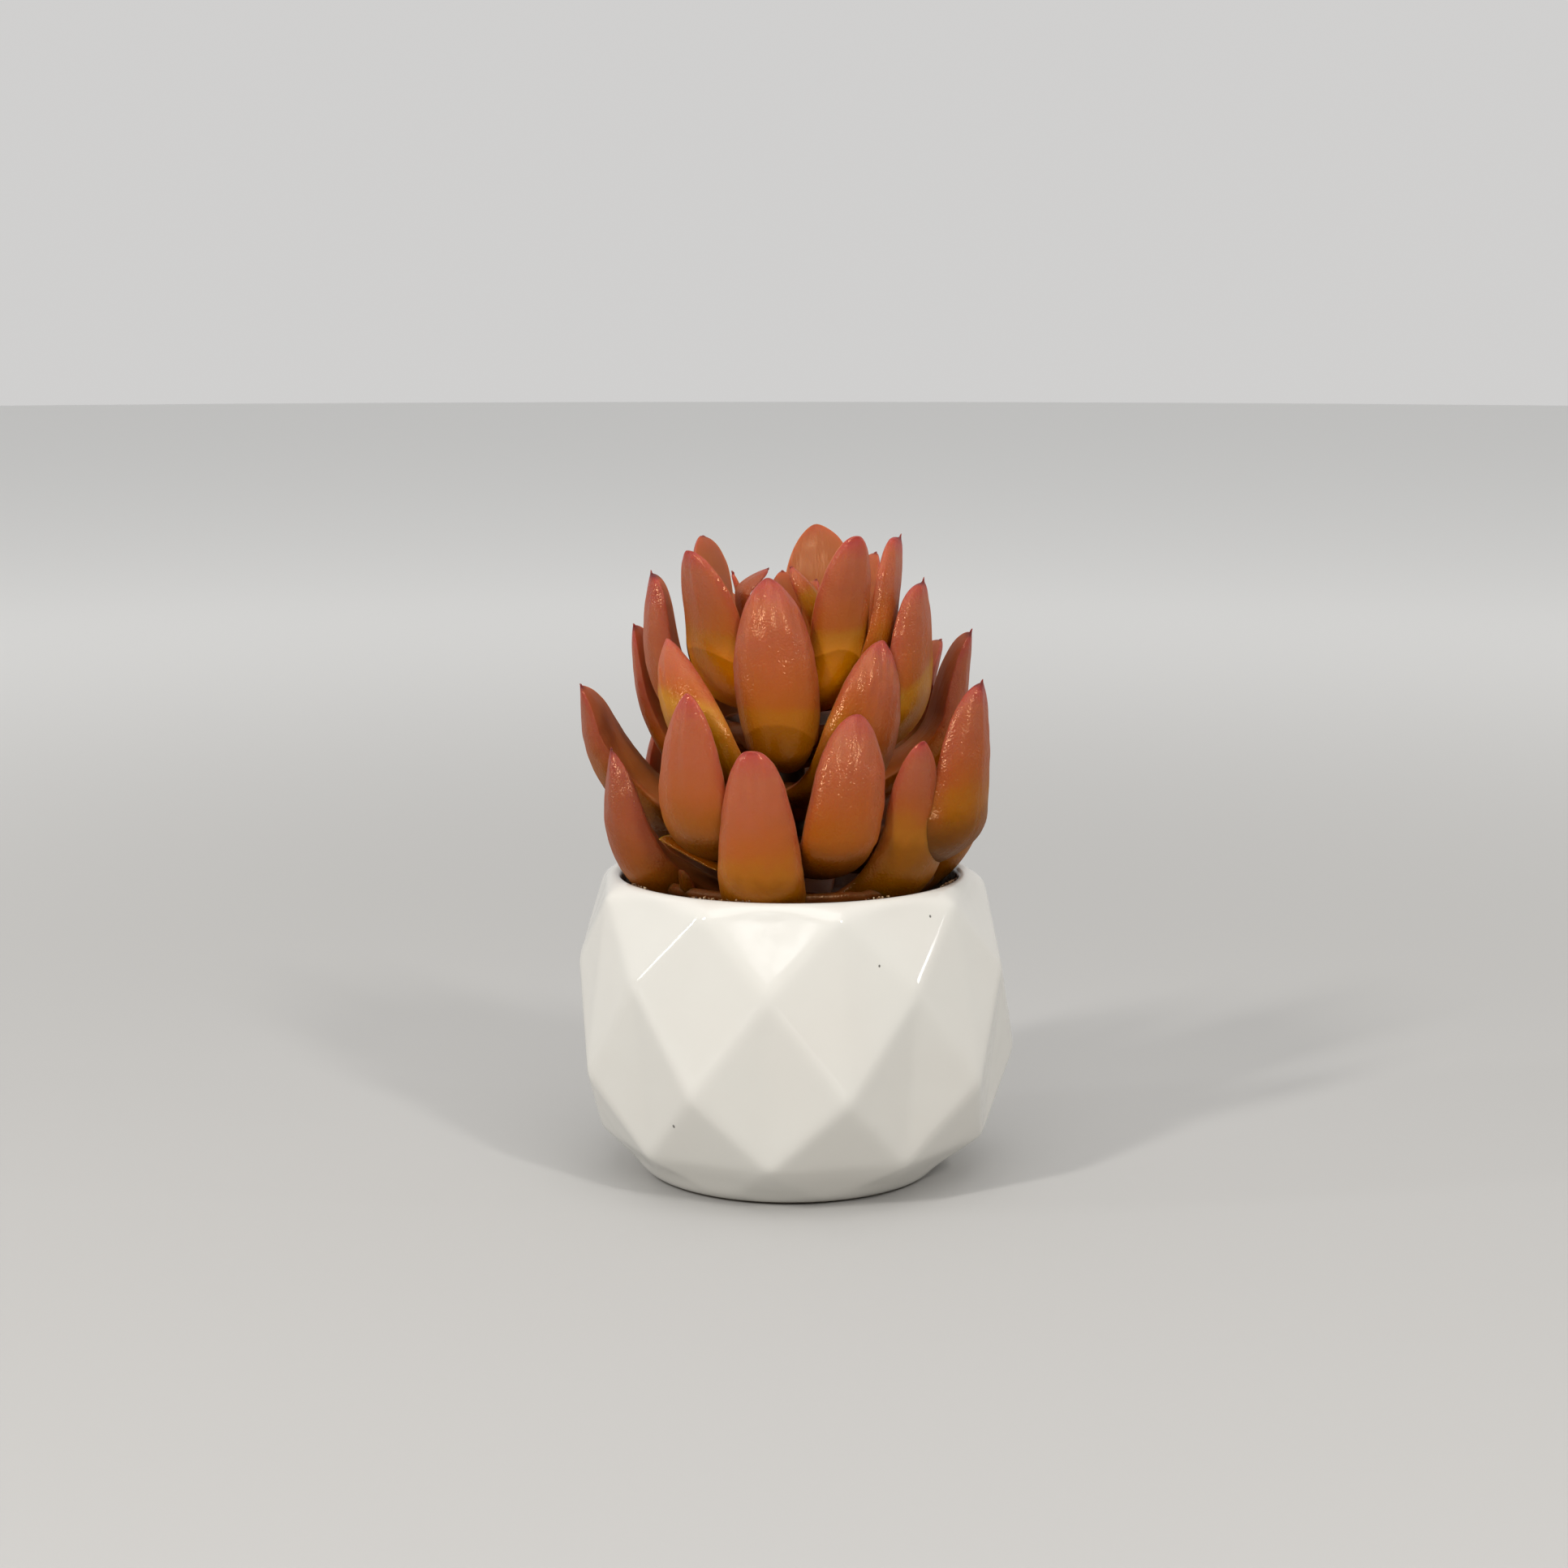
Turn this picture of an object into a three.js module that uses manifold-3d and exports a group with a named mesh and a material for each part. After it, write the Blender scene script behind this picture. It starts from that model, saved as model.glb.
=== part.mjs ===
// Potted aeonium: a rosette of thick finger-shaped leaves in a small faceted white pot.
// Millimetres, +Z up, the front of the plant faces -Y, z = 0 is the table.
// Azimuths run from the front (-Y) towards the right (+X).
import * as THREE from 'three';
import Module from 'manifold-3d';

// ---- pot: nine columns of glazed facets between three rings of corners ----
const COLUMNS = 9;
const TURN = -5.6; // degrees, azimuth of the corner of column 0 that faces the front
// Rings of corners: radius, height, growth of the radius towards the right (the pot is hand
// finished and fuller there), and how many half columns the ring is turned.
const RING = {
  foot: { r: 25.5, z: 0, grow: 0, half: 1 },
  low: { r: 34.5, z: 8.2, grow: 0.5, half: 0 },
  middle: { r: 41.0, z: 21.7, grow: 1.0, half: 1 },
  upper: { r: 38.8, z: 40.2, grow: 0.5, half: 0 },
  neck: { r: 34.4, z: 53.8, grow: 0, half: 1 },
  dish: { r: 37.3, z: 22.5, grow: 0.7, half: 0 }, // sunken middle of each diamond
};
const POT_HEIGHT = 56;
const FLOOR_Z = 5.0; // bottom of the hollow
const LIP = [[33.5, 54.9], [33.0, 55.7], [32.2, POT_HEIGHT]]; // outside of the round lip
const MOUTH = [[31.2, 55.6], [30.7, 54.6], [30.5, 52], [33.0, 42], [35.2, 30], [35.6, 22],
  [30.0, 9.5], [22.5, FLOOR_Z]]; // inner wall, top to bottom
const GAP = 0.3; // clearance between neighbouring pieces

// ---- filling and stem ----
const SOIL_TOP = 44.5;
const STEM_R = 2.9;
const STEM_FOOT = 16;
const STEM_TOP = 95.5;

// ---- leaves ----
const ROOT_R = 4.0; // where the middle line of a leaf leaves the collar
const LEAF_STATIONS = 10;
const LINE_STEPS = 40; // steps of each half of a leaf's line
const NEAR = 0.02; // share of the length over which a direction is taken
const SIDES_OUT = 6; // facets of the rounded outer side
const SIDES_IN = 4; // facets of the flatter inner side
const OUTER = 0.66; // share of the thickness that lies outside the leaf's two edges
const INNER = 0.31; // share that lies inside them
const BOXY = 0.9; // power under 1: the section is a little fuller than a half circle
const WIDE_POWER = 2.3; // how long the width holds before the tip
const CURL_FROM = 0.78; // share of the length where the tip begins to bend inwards
const DEEP = { neck: 0.65, peak: 0.52, power: 2.2 }; // how the thickness runs along the leaf
// A row: azimuth, belly r, belly z, tip r, tip z, belly side, tip side, width, thickness, then
// the bluntness of the tip (small is blunt), where along the leaf it is widest, the width at
// the root as a share of the full width, how far the root stands above the whorl, and how far
// the tip bends inwards as a share of the thickness.
// "Side" is a shift to the right of the leaf's own vertical plane.
const WHORLS = [
  { z: 46.0, dish: 26, rise: 7.5, leaves: [
    [-11, 33.5, 64, 35.5, 82.7, -0.3, -0.2, 14.8, 7.7, 0.58, 0.55, 1, 0, 0.26],
    [-69.32, 35.5, 68.43, 35.1, 80.04, 0.95, 0.2, 12.88, 10.76, 0.77, 0.59, 0.9, 0, 0.08],
    [39.74, 32.68, 69.12, 35.37, 82.53, 4.93, 2.84, 15.78, 8.37, 0.68, 0.43, 0.89, 0, 0.26],
    [101, 36.4, 70.2, 35, 84, -0.8, 0, 12.5, 7.5, 0.55, 0.6, 0.9, 0, 0.08],
    [173, 35, 68, 33, 82, 0, 0, 13.5, 8, 0.58, 0.6, 1, 0, 0.08],
    [-133, 35, 68, 33.5, 82, 0, 0, 13.5, 8, 0.55, 0.6, 1, 0, 0.08]] },
  { z: 56.5, dish: 20, rise: 6.0, leaves: [
    [-36.93, 33.63, 74.97, 33.66, 91.96, 1.44, 1.81, 14.63, 6.23, 0.74, 0.56, 0.97, 0, 0.26],
    [21.25, 31.79, 66.91, 26.64, 88.31, -1.16, 2.82, 14.14, 6.03, 0.46, 0.6, 0.55, 0, 0.26],
    [61.19, 38.12, 66.59, 36.12, 91.88, 1.33, 8.79, 12.89, 10.09, 0.49, 0.59, 1.1, 0, 0.08],
    [-98.49, 39.11, 82.93, 39.59, 89.26, -1.39, 1.13, 15.56, 11, 0.78, 0.61, 1, 0, 0.08],
    [139, 34, 75, 34, 91, 0, 0, 14, 7.5, 0.58, 0.6, 1.3, 0, 0.08],
    [-158, 34, 75, 34, 91, 0, 0, 13, 7.5, 0.56, 0.6, 1, 0, 0.08]] },
  { z: 66.5, dish: 16.5, rise: 6.7, leaves: [
    [-42.42, 28.57, 86, 23.89, 100.52, 0.46, -9.21, 12.95, 6.26, 0.77, 0.47, 1.75, 1.8, 0.26],
    [36.49, 25.06, 85.39, 23.53, 100.19, 0.73, 4.46, 17.06, 6.8, 0.65, 0.42, 1.26, 1.9, 0.26],
    [99.03, 33.04, 86.14, 33.89, 99.14, 1.63, -2.27, 12.18, 8.52, 0.59, 0.58, 1, 0, 0.08],
    [122, 30, 84, 34, 96, 0, 0, 12.5, 7, 0.55, 0.6, 1, 0, 0.08],
    [-173, 26.5, 84, 28, 99, 0, 0, 12.2, 6.6, 0.57, 0.6, 1, 0, 0.08],
    [-113.51, 30.96, 88.84, 30.66, 99.99, -0.97, 3.13, 11.03, 6.89, 0.59, 0.6, 1, 0, 0.08]] },
  { z: 76.0, dish: 13, rise: 6.6, leaves: [
    [-0.11, 23.58, 81.11, 18.65, 111.76, -1.24, -3.89, 14.84, 10.09, 0.63, 0.62, 0.35, 0, 0.26],
    [65.92, 26.47, 91.47, 25.23, 108.87, 1.23, 3.34, 15.09, 7.69, 0.47, 0.62, 0.92, 0, 0.08],
    [-88.4, 26.51, 99.15, 25.9, 110.38, -1.75, -1.02, 12.48, 8.48, 0.44, 0.6, 1, 0, 0.08],
    [117, 24, 93, 26.5, 103, 0, 0, 12, 6.5, 0.55, 0.6, 1, 0, 0.08],
    [-146, 22.5, 93, 24.5, 106, 0, 0, 11.6, 6.2, 0.57, 0.6, 1, 0, 0.08]] },
  { z: 85.5, dish: 10.5, rise: 4.0, leaves: [
    [-51.75, 19.86, 100.91, 23.11, 114.94, -0.82, -2.05, 15.79, 6.19, 0.62, 0.52, 1.34, 0, 0.26],
    [20.84, 17.47, 96.72, 22.57, 118.44, 4.07, 4.81, 10.59, 6.5, 0.59, 0.57, 0.8, 0, 0.26],
    [73.97, 20.61, 103.83, 20.16, 116.53, -2.44, 3.44, 10.73, 5.23, 0.37, 0.6, 1, 0, 0.08],
    [-128.25, 19.59, 100.24, 22.3, 115.82, 2.27, -1.76, 11.64, 4.76, 0.47, 0.61, 1, 0, 0.08],
    [167.52, 13.31, 101.96, 15.97, 118.62, -5.21, -1.11, 14.16, 5.45, 0.69, 0.59, 1, 0, 0.26],
    [127, 17, 98, 20, 113, -1, -0.5, 10.5, 4.5, 0.55, 0.6, 1, 0, 0.08]] },
  { z: 93.5, dish: 4.6, rise: 1.5, root: 1.5, leaves: [
    [29, 9.3, 103.7, 4.5, 112.2, 1.7, -2, 4.6, 3.2, 0.55, 0.6, 0.8, 0, 0.08],
    [-150, 4, 101, 4, 110.5, 0, -0.5, 7, 3.5, 0.55, 0.6, 0.8, 0, 0.08],
    [-78.5, 9.9, 107, 4.1, 111.6, -0.2, -0.5, 7.7, 3.1, 0.53, 0.6, 0.8, 0, 0.08],
    [120, 6, 101, 6, 109, 0, 0, 7, 3.5, 0.55, 0.6, 0.8, 0, 0.08]] },
];

const wasm = await Module();
wasm.setup();
const RAD = Math.PI / 180;
const mix = (a, b, t) => a + (b - a) * t;

// Point at azimuth az (degrees): r outwards, side along the tangent, height z.
function place(az, r, side, z) {
  const s = Math.sin(az * RAD);
  const c = Math.cos(az * RAD);
  return [r * s + side * c, -r * c + side * s, z];
}

// Solid from points and triangles whose corners run anticlockwise seen from outside.
function solid(points, faces) {
  return new wasm.Manifold(new wasm.Mesh({
    numProp: 3,
    vertProperties: new Float32Array(points.flat()),
    triVerts: new Uint32Array(faces.flat()),
  }));
}

// Rings of equal length joined to a closed skin; the ends close on their own middle point.
function skin(rings, endLow, endHigh) {
  const n = rings[0].length;
  const points = rings.flat();
  const faces = [];
  for (let i = 0; i + 1 < rings.length; i++) {
    for (let j = 0; j < n; j++) {
      const a = i * n + j;
      const b = i * n + ((j + 1) % n);
      faces.push([a, b, b + n], [a, b + n, a + n]);
    }
  }
  const low = points.length;
  const top = (rings.length - 1) * n;
  points.push(endLow, endHigh);
  for (let j = 0; j < n; j++) {
    faces.push([low, (j + 1) % n, j], [low + 1, top + j, top + ((j + 1) % n)]);
  }
  return solid(points, faces);
}

// Solid of revolution from a profile of [r, z] that starts and ends on the axis, bottom first.
function turned(profile, segments) {
  const rings = profile.slice(1, -1).map(([r, z]) => Array.from({ length: segments },
    (_, j) => place((j * 360) / segments, r, 0, z)));
  return skin(rings, [0, 0, profile[0][1]], [0, 0, profile[profile.length - 1][1]]);
}

// ---- the leaf: a D-shaped section swept along the line of its outer side ----
const bezier = (p, t) => p[0].map((_, k) => (1 - t) ** 3 * p[0][k] + 3 * (1 - t) ** 2 * t * p[1][k]
  + 3 * (1 - t) * t * t * p[2][k] + t ** 3 * p[3][k]);

// Outer line of a leaf, root to belly and belly to tip, as [r, side, z].
function outerLine(leaf, whorl) {
  const [, bellyR, bellyZ, tipR, tipZ, bellySide, tipSide] = leaf;
  const lift = leaf[12];
  const rootR = whorl.root ?? ROOT_R;
  const rootZ = whorl.z + lift;
  const belly = [bellyR, bellySide, bellyZ];
  const rise = bellyZ - rootZ;
  const up = tipZ - bellyZ;
  const lean = (1.6 * (tipR - bellyR)) / up;
  const slant = (tipSide - bellySide) / up;
  const drop = 0.55 * rise + 2; // length of the handle below the belly
  const lower = [[rootR, 0, rootZ], [mix(rootR, bellyR, 0.55), 0, rootZ - 0.5],
    [bellyR, bellySide - 0.9 * slant * Math.min(drop, 0.8 * rise), bellyZ - drop], belly];
  const upper = [belly, [bellyR, bellySide + 0.33 * slant * up, bellyZ + 0.36 * up],
    [tipR - 0.3 * lean * up, tipSide - 0.3 * slant * up, tipZ - 0.3 * up], [tipR, tipSide, tipZ]];
  const line = [];
  for (let i = 0; i <= LINE_STEPS; i++) line.push(bezier(lower, i / LINE_STEPS));
  for (let i = 1; i <= LINE_STEPS; i++) line.push(bezier(upper, i / LINE_STEPS));
  return line;
}

// Points at the shares s of the line's length, each with its direction.
function sample(line, shares) {
  const run = [0];
  for (let i = 1; i < line.length; i++) {
    run.push(run[i - 1] + Math.hypot(...line[i].map((v, k) => v - line[i - 1][k])));
  }
  const at = (s) => {
    const d = Math.min(Math.max(s, 0), 1) * run[run.length - 1];
    let i = run.findIndex((v) => v >= d);
    i = Math.max(i, 1);
    const t = (d - run[i - 1]) / (run[i] - run[i - 1]);
    return line[i].map((v, k) => mix(line[i - 1][k], v, t));
  };
  return shares.map((s) => {
    const dir = new THREE.Vector3(...at(s + NEAR)).sub(new THREE.Vector3(...at(s - NEAR)));
    return { p: at(s), dir: dir.normalize() };
  });
}

// Share of the full size: a neck at the root, full at `peak`, closing roundly at the tip.
function swell(s, neck, peak, power, blunt) {
  if (s < peak) return mix(neck, 1, (s / peak) ** 2 * (3 - (2 * s) / peak));
  return Math.max(0, 1 - ((s - peak) / (1 - peak)) ** power) ** blunt;
}

// With `grow`, the same leaf is that much larger all round.
function leafSolid(leaf, whorl, grow = 0) {
  const [az, , , , , , , width, thick, blunt, peak, neck] = leaf;
  const shares = Array.from({ length: LEAF_STATIONS }, (_, i) => 1 - (1 - i / LEAF_STATIONS) ** 1.5);
  const stations = sample(outerLine(leaf, whorl), shares);
  const section = [];
  for (let j = 0; j < SIDES_OUT; j++) {
    const a = (j * Math.PI) / SIDES_OUT;
    section.push([-Math.cos(a), OUTER * (1 - Math.sin(a) ** BOXY)]);
  }
  for (let j = 0; j < SIDES_IN; j++) {
    const a = (j * Math.PI) / SIDES_IN;
    section.push([Math.cos(a), OUTER + INNER * Math.sin(a) ** BOXY]);
  }
  const bendAt = (s) => leaf[13] * thick * Math.max(0, (s - CURL_FROM) / (1 - CURL_FROM)) ** 2;
  const rings = stations.map(({ p, dir }, i) => {
    const s = shares[i];
    const w = (width / 2) * swell(s, neck, peak, WIDE_POWER, blunt) + grow;
    const h = thick * swell(s, DEEP.neck, DEEP.peak, DEEP.power, blunt) + 2 * grow;
    const inward = new THREE.Vector3().crossVectors(dir, new THREE.Vector3(0, 1, 0)).normalize();
    const across = new THREE.Vector3().crossVectors(inward, dir);
    const bend = bendAt(s) - grow;
    return section.map(([x, y]) => place(az, p[0] + across.x * w * x + inward.x * (h * y + bend),
      p[1] + across.y * w * x + inward.y * (h * y + bend),
      p[2] + across.z * w * x + inward.z * (h * y + bend)));
  });
  const root = rings[0].reduce((m, q) => m.map((v, k) => v + q[k] / rings[0].length), [0, 0, 0]);
  const [, , , tipR, tipZ, , tipSide] = leaf;
  return skin(rings, root, place(az, tipR - bendAt(1), tipSide, tipZ + grow));
}

// A whorl: its leaves grow out of one dished collar with a plain hole for the stem. Where leaves
// of two whorls press on each other, the inner one gives way and takes a dent.
function whorlSolid(whorl, index) {
  const { z, dish, rise } = whorl;
  let body = turned([[0, z - 0.4], [dish * 0.55, z - 0.4], [dish, z + rise], [dish - 0.6, z + rise + 2],
    [dish * 0.55, z + 4.2], [0, z + 3.6]], 24);
  for (const leaf of whorl.leaves) body = body.add(leafSolid(leaf, whorl));
  for (const outer of WHORLS.slice(0, index)) {
    for (const leaf of outer.leaves) body = body.subtract(leafSolid(leaf, outer, GAP));
  }
  const r = STEM_R + GAP;
  const top = Math.min(z + 30, STEM_TOP + GAP);
  return body.subtract(turned([[0, z - 12], [r, z - 12], [r, top], [0, top]], 16));
}

// ---- pot ----
const ringPoint = ({ r, z, grow, half }, i) => {
  const az = TURN + ((i + half / 2) * 360) / COLUMNS;
  return place(az, r + grow * Math.sin(az * RAD), 0, z);
};

function potSolid() {
  const points = [];
  const ids = {};
  for (const [name, ring] of Object.entries(RING)) {
    ids[name] = points.length;
    for (let i = 0; i < COLUMNS; i++) points.push(ringPoint(ring, i));
  }
  const faces = [];
  const id = (name, i) => ids[name] + ((i + COLUMNS) % COLUMNS);
  for (let i = 0; i < COLUMNS; i++) {
    const j = i + 1;
    faces.push([id('upper', i), id('neck', i), id('neck', i - 1)]);
    faces.push([id('upper', i), id('middle', i), id('neck', i)]);
    faces.push([id('middle', i), id('upper', j), id('neck', i)]);
    faces.push([id('middle', i), id('dish', j), id('upper', j)]);
    faces.push([id('dish', j), id('middle', j), id('upper', j)]);
    faces.push([id('low', j), id('middle', j), id('dish', j)]);
    faces.push([id('low', j), id('dish', j), id('middle', i)]);
    faces.push([id('low', i), id('low', j), id('middle', i)]);
    faces.push([id('low', j), id('low', i), id('foot', i)]);
    faces.push([id('low', j), id('foot', i), id('foot', j)]);
  }
  const base = points.length;
  points.push([0, 0, 0], [0, 0, RING.neck.z]);
  for (let i = 0; i < COLUMNS; i++) {
    faces.push([base, id('foot', i + 1), id('foot', i)]);
    faces.push([base + 1, id('neck', i), id('neck', i + 1)]);
  }
  const body = solid(points, faces);
  const lip = turned([[0, 50], [32.4, 50], [33.2, RING.neck.z - 0.2], ...LIP, [0, POT_HEIGHT]], 36);
  const hollow = turned([[0, MOUTH[MOUTH.length - 1][1]], ...[...MOUTH].reverse(),
    [31.8, POT_HEIGHT + 0.2], [0, POT_HEIGHT + 0.2]], 36);
  return body.add(lip).subtract(hollow);
}

// ---- soil: fills the pot to SOIL_TOP, uneven on top, with a plain hole for the stem ----
function innerRadius(z) {
  let i = MOUTH.findIndex((p) => p[1] <= z);
  i = Math.max(i, 1);
  const [r0, z0] = MOUTH[i - 1];
  const [r1, z1] = MOUTH[i];
  return mix(r0, r1, (z - z0) / (z1 - z0));
}

function soilSolid() {
  const wall = [FLOOR_Z, 9.5, 22, 30, 42, SOIL_TOP].map((z) => [innerRadius(z) - 2.4 * GAP,
    Math.max(z, FLOOR_Z + GAP)]);
  const rings = wall.map(([r, z]) => Array.from({ length: 36 }, (_, j) => place(j * 10, r, 0, z)));
  for (const [r, lift] of [[24, 0.5], [16, 0.3], [8, 0.1]]) {
    rings.push(Array.from({ length: 36 }, (_, j) => place(j * 10, r, 0,
      SOIL_TOP + lift + 0.25 * Math.sin(j * 2.6 + r) + 0.2 * Math.sin(j * 5.1 + 2 * r))));
  }
  const fill = skin(rings, [0, 0, FLOOR_Z + GAP], [0, 0, SOIL_TOP]);
  const r = STEM_R + GAP;
  return fill.subtract(turned([[0, STEM_FOOT - GAP], [r, STEM_FOOT - GAP], [r, 60], [0, 60]], 16));
}

const stemSolid = () => turned([[0, STEM_FOOT], [STEM_R, STEM_FOOT], [STEM_R, STEM_TOP - 1.2],
  [STEM_R - 1, STEM_TOP], [0, STEM_TOP]], 16);

// ---- nodes ----
function node(name, body, color, roughness) {
  const mesh = body.getMesh();
  const stride = mesh.numProp;
  const xyz = new Float32Array((mesh.vertProperties.length / stride) * 3);
  for (let i = 0; i < xyz.length / 3; i++) {
    for (let k = 0; k < 3; k++) xyz[i * 3 + k] = mesh.vertProperties[i * stride + k];
  }
  const geometry = new THREE.BufferGeometry();
  geometry.setAttribute('position', new THREE.BufferAttribute(xyz, 3));
  geometry.setIndex(new THREE.BufferAttribute(new Uint32Array(mesh.triVerts), 1));
  geometry.computeVertexNormals();
  const out = new THREE.Mesh(geometry, new THREE.MeshStandardMaterial({ color, roughness }));
  out.name = name;
  out.material.name = `${name}_surface`;
  return out;
}

const plant = new THREE.Group();
plant.name = 'potted_aeonium';
plant.add(node('pot', potSolid(), 0xe6e2d8, 0.15));
plant.add(node('soil', soilSolid(), 0x3a241c, 0.95));
plant.add(node('stem', stemSolid(), 0x7a5a2c, 0.6));
WHORLS.forEach((whorl, i) => {
  plant.add(node(`leaf_whorl_${i + 1}`, whorlSolid(whorl, i), 0xb0583a, 0.4));
});

export default plant;
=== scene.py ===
# %% [markdown]
# # A small potted succulent
# The object is a rosette of thick finger-shaped leaves on a short stem, in a white faceted pot.
# The CAD model gives the frame: every piece below is made in metres, in the CAD model's own axes,
# so that it drops onto its CAD node without any fitting. The plant is one still thing, so all its
# pieces ride on one body.

# %% Load the frame
import math

import bpy
import numpy as np
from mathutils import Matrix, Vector, noise


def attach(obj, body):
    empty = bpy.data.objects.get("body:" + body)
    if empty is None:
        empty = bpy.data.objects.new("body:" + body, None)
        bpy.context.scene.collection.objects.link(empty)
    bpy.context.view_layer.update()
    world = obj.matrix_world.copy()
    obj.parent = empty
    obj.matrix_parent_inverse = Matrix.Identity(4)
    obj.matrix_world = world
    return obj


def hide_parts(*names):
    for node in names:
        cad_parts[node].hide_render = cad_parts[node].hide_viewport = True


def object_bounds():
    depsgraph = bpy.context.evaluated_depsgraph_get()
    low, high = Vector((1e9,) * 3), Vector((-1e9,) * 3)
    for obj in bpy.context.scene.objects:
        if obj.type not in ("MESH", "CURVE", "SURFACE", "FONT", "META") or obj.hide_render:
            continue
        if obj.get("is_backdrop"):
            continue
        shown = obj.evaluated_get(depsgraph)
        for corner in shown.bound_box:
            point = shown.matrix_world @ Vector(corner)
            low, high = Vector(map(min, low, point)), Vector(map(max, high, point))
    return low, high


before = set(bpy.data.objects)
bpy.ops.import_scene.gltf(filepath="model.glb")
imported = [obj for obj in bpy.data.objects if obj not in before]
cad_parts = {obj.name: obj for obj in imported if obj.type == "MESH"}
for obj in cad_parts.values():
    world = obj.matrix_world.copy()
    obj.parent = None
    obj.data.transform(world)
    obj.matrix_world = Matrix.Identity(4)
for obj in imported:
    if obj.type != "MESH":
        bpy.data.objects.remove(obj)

MM = 0.001
scene = bpy.context.scene
cad_box = [list(corner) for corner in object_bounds()]
print("CAD box, mm:", [[round(v / MM, 1) for v in corner] for corner in cad_box])

# %% [markdown]
# ## Small helpers
# Colours are picked as sRGB hex values, but a shader works with linear light, so one function
# converts them. Another adds a node with its settings and its links, and gives back one of its
# sockets, which keeps a material or a Geometry Nodes tree readable as a list of steps. The rest
# start a material, and turn points and faces into an object that sits at the origin, with its
# place in its mesh, as the CAD nodes have.

# %% Colours and nodes
def linear(hex_code):
    """An sRGB hex colour as linear light, with alpha."""
    srgb = [int(hex_code[i:i + 2], 16) / 255 for i in (1, 3, 5)]
    return [v / 12.92 if v <= 0.04045 else ((v + 0.055) / 1.055) ** 2.4 for v in srgb] + [1.0]


def feed(tree, node, inputs):
    """Gives each input its value, or a link from another node's socket."""
    for key, value in inputs.items():
        if isinstance(value, bpy.types.NodeSocket):
            tree.links.new(value, node.inputs[key])
        else:
            node.inputs[key].default_value = value


def add_node(tree, kind, inputs=None, out=None, stops=(), **settings):
    """Adds a node with its settings, inputs and colour stops, and gives back one output.

    That is the one with the name out, or else the first in use. A kind such as "Math" is short
    for "ShaderNodeMath", which materials and Geometry Nodes share.
    """
    node = tree.nodes.new(kind if "Node" in kind else "ShaderNode" + kind)
    for name, value in settings.items():
        setattr(node, name, value)
    feed(tree, node, inputs or {})
    if stops:
        elements = node.color_ramp.elements
        while len(elements) < len(stops):
            elements.new(0.5)
        for element, (position, hex_code) in zip(elements, stops):
            element.position = position
            element.color = linear(hex_code)
    return node.outputs[out] if out else next((s for s in node.outputs if s.enabled), None)


def new_material(name):
    """A node material, its tree, its shader, and the coordinates of the piece that wears it."""
    material = bpy.data.materials.new(name)
    material.use_nodes = True
    tree = material.node_tree
    where = add_node(tree, "TexCoord", out="Object")
    return material, tree, tree.nodes["Principled BSDF"], where


# %% Meshes
def mesh_object(name, points_mm, faces, material=None, smooth=True):
    """An object at the origin, from points in millimetres and faces."""
    mesh = bpy.data.meshes.new(name)
    mesh.from_pydata((np.asarray(points_mm) * MM).tolist(), [], faces)
    mesh.validate()
    mesh.update()
    if smooth:
        mesh.polygons.foreach_set("use_smooth", [True] * len(mesh.polygons))
    if material:
        mesh.materials.append(material)
    obj = bpy.data.objects.new(name, mesh)
    scene.collection.objects.link(obj)
    return obj


def ring_faces(rings, sides):
    """Quads between rings of equal length, anticlockwise seen from outside."""
    pairs = [(i * sides + j, i * sides + (j + 1) % sides) for i in range(rings - 1) for j in range(sides)]
    return [(a, b, b + sides, a + sides) for a, b in pairs]


def closed_faces(rings, sides):
    """The same, with each end closed on a pole; the poles are the two points after the rings."""
    low, high, top = rings * sides, rings * sides + 1, (rings - 1) * sides
    faces = ring_faces(rings, sides)
    for j in range(sides):
        k = (j + 1) % sides
        faces += [(low, k, j), (high, top + j, top + k)]
    return faces


def smoothstep(x, low, high):
    t = np.clip((x - low) / (high - low), 0.0, 1.0)
    return t * t * (3 - 2 * t)


# %% [markdown]
# ## Camera
# The photograph is taken from about ten degrees above the table, with a long lens. The camera's
# distance and its lens were worked out from the pot: its rim is an ellipse whose flatness gives
# the angle, and its known width gives the distance for the lens. It aims at a point on the pot's
# axis, 60 mm above the table, and is turned a little so that this point lands where it lies in
# the picture.

# %% Camera
FRAME_PX = 1932
FOCAL_PX = 3870
AIM = Vector((0, 0, 60 * MM))
AIM_PX = (973.0, 1044.4)
DISTANCE = 576.2 * MM
ELEVATION = math.radians(10.12)

yaw = math.atan2(AIM_PX[0] - FRAME_PX / 2, FOCAL_PX)
pitch = ELEVATION - math.atan2((AIM_PX[1] - FRAME_PX / 2) * math.cos(yaw), FOCAL_PX)
lens = bpy.data.cameras.new("photo_camera")
lens.sensor_width = 36
lens.lens = FOCAL_PX / FRAME_PX * lens.sensor_width
lens.clip_start = 0.01
lens.clip_end = 50
camera = bpy.data.objects.new("photo_camera", lens)
camera.location = AIM + DISTANCE * Vector((0, -math.cos(ELEVATION), math.sin(ELEVATION)))
camera.rotation_euler = (math.pi / 2 - pitch, 0, yaw)
scene.collection.objects.link(camera)
scene.camera = camera
print("lens", round(lens.lens, 1), "mm, pitch", round(math.degrees(pitch), 2), "degrees")
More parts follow.
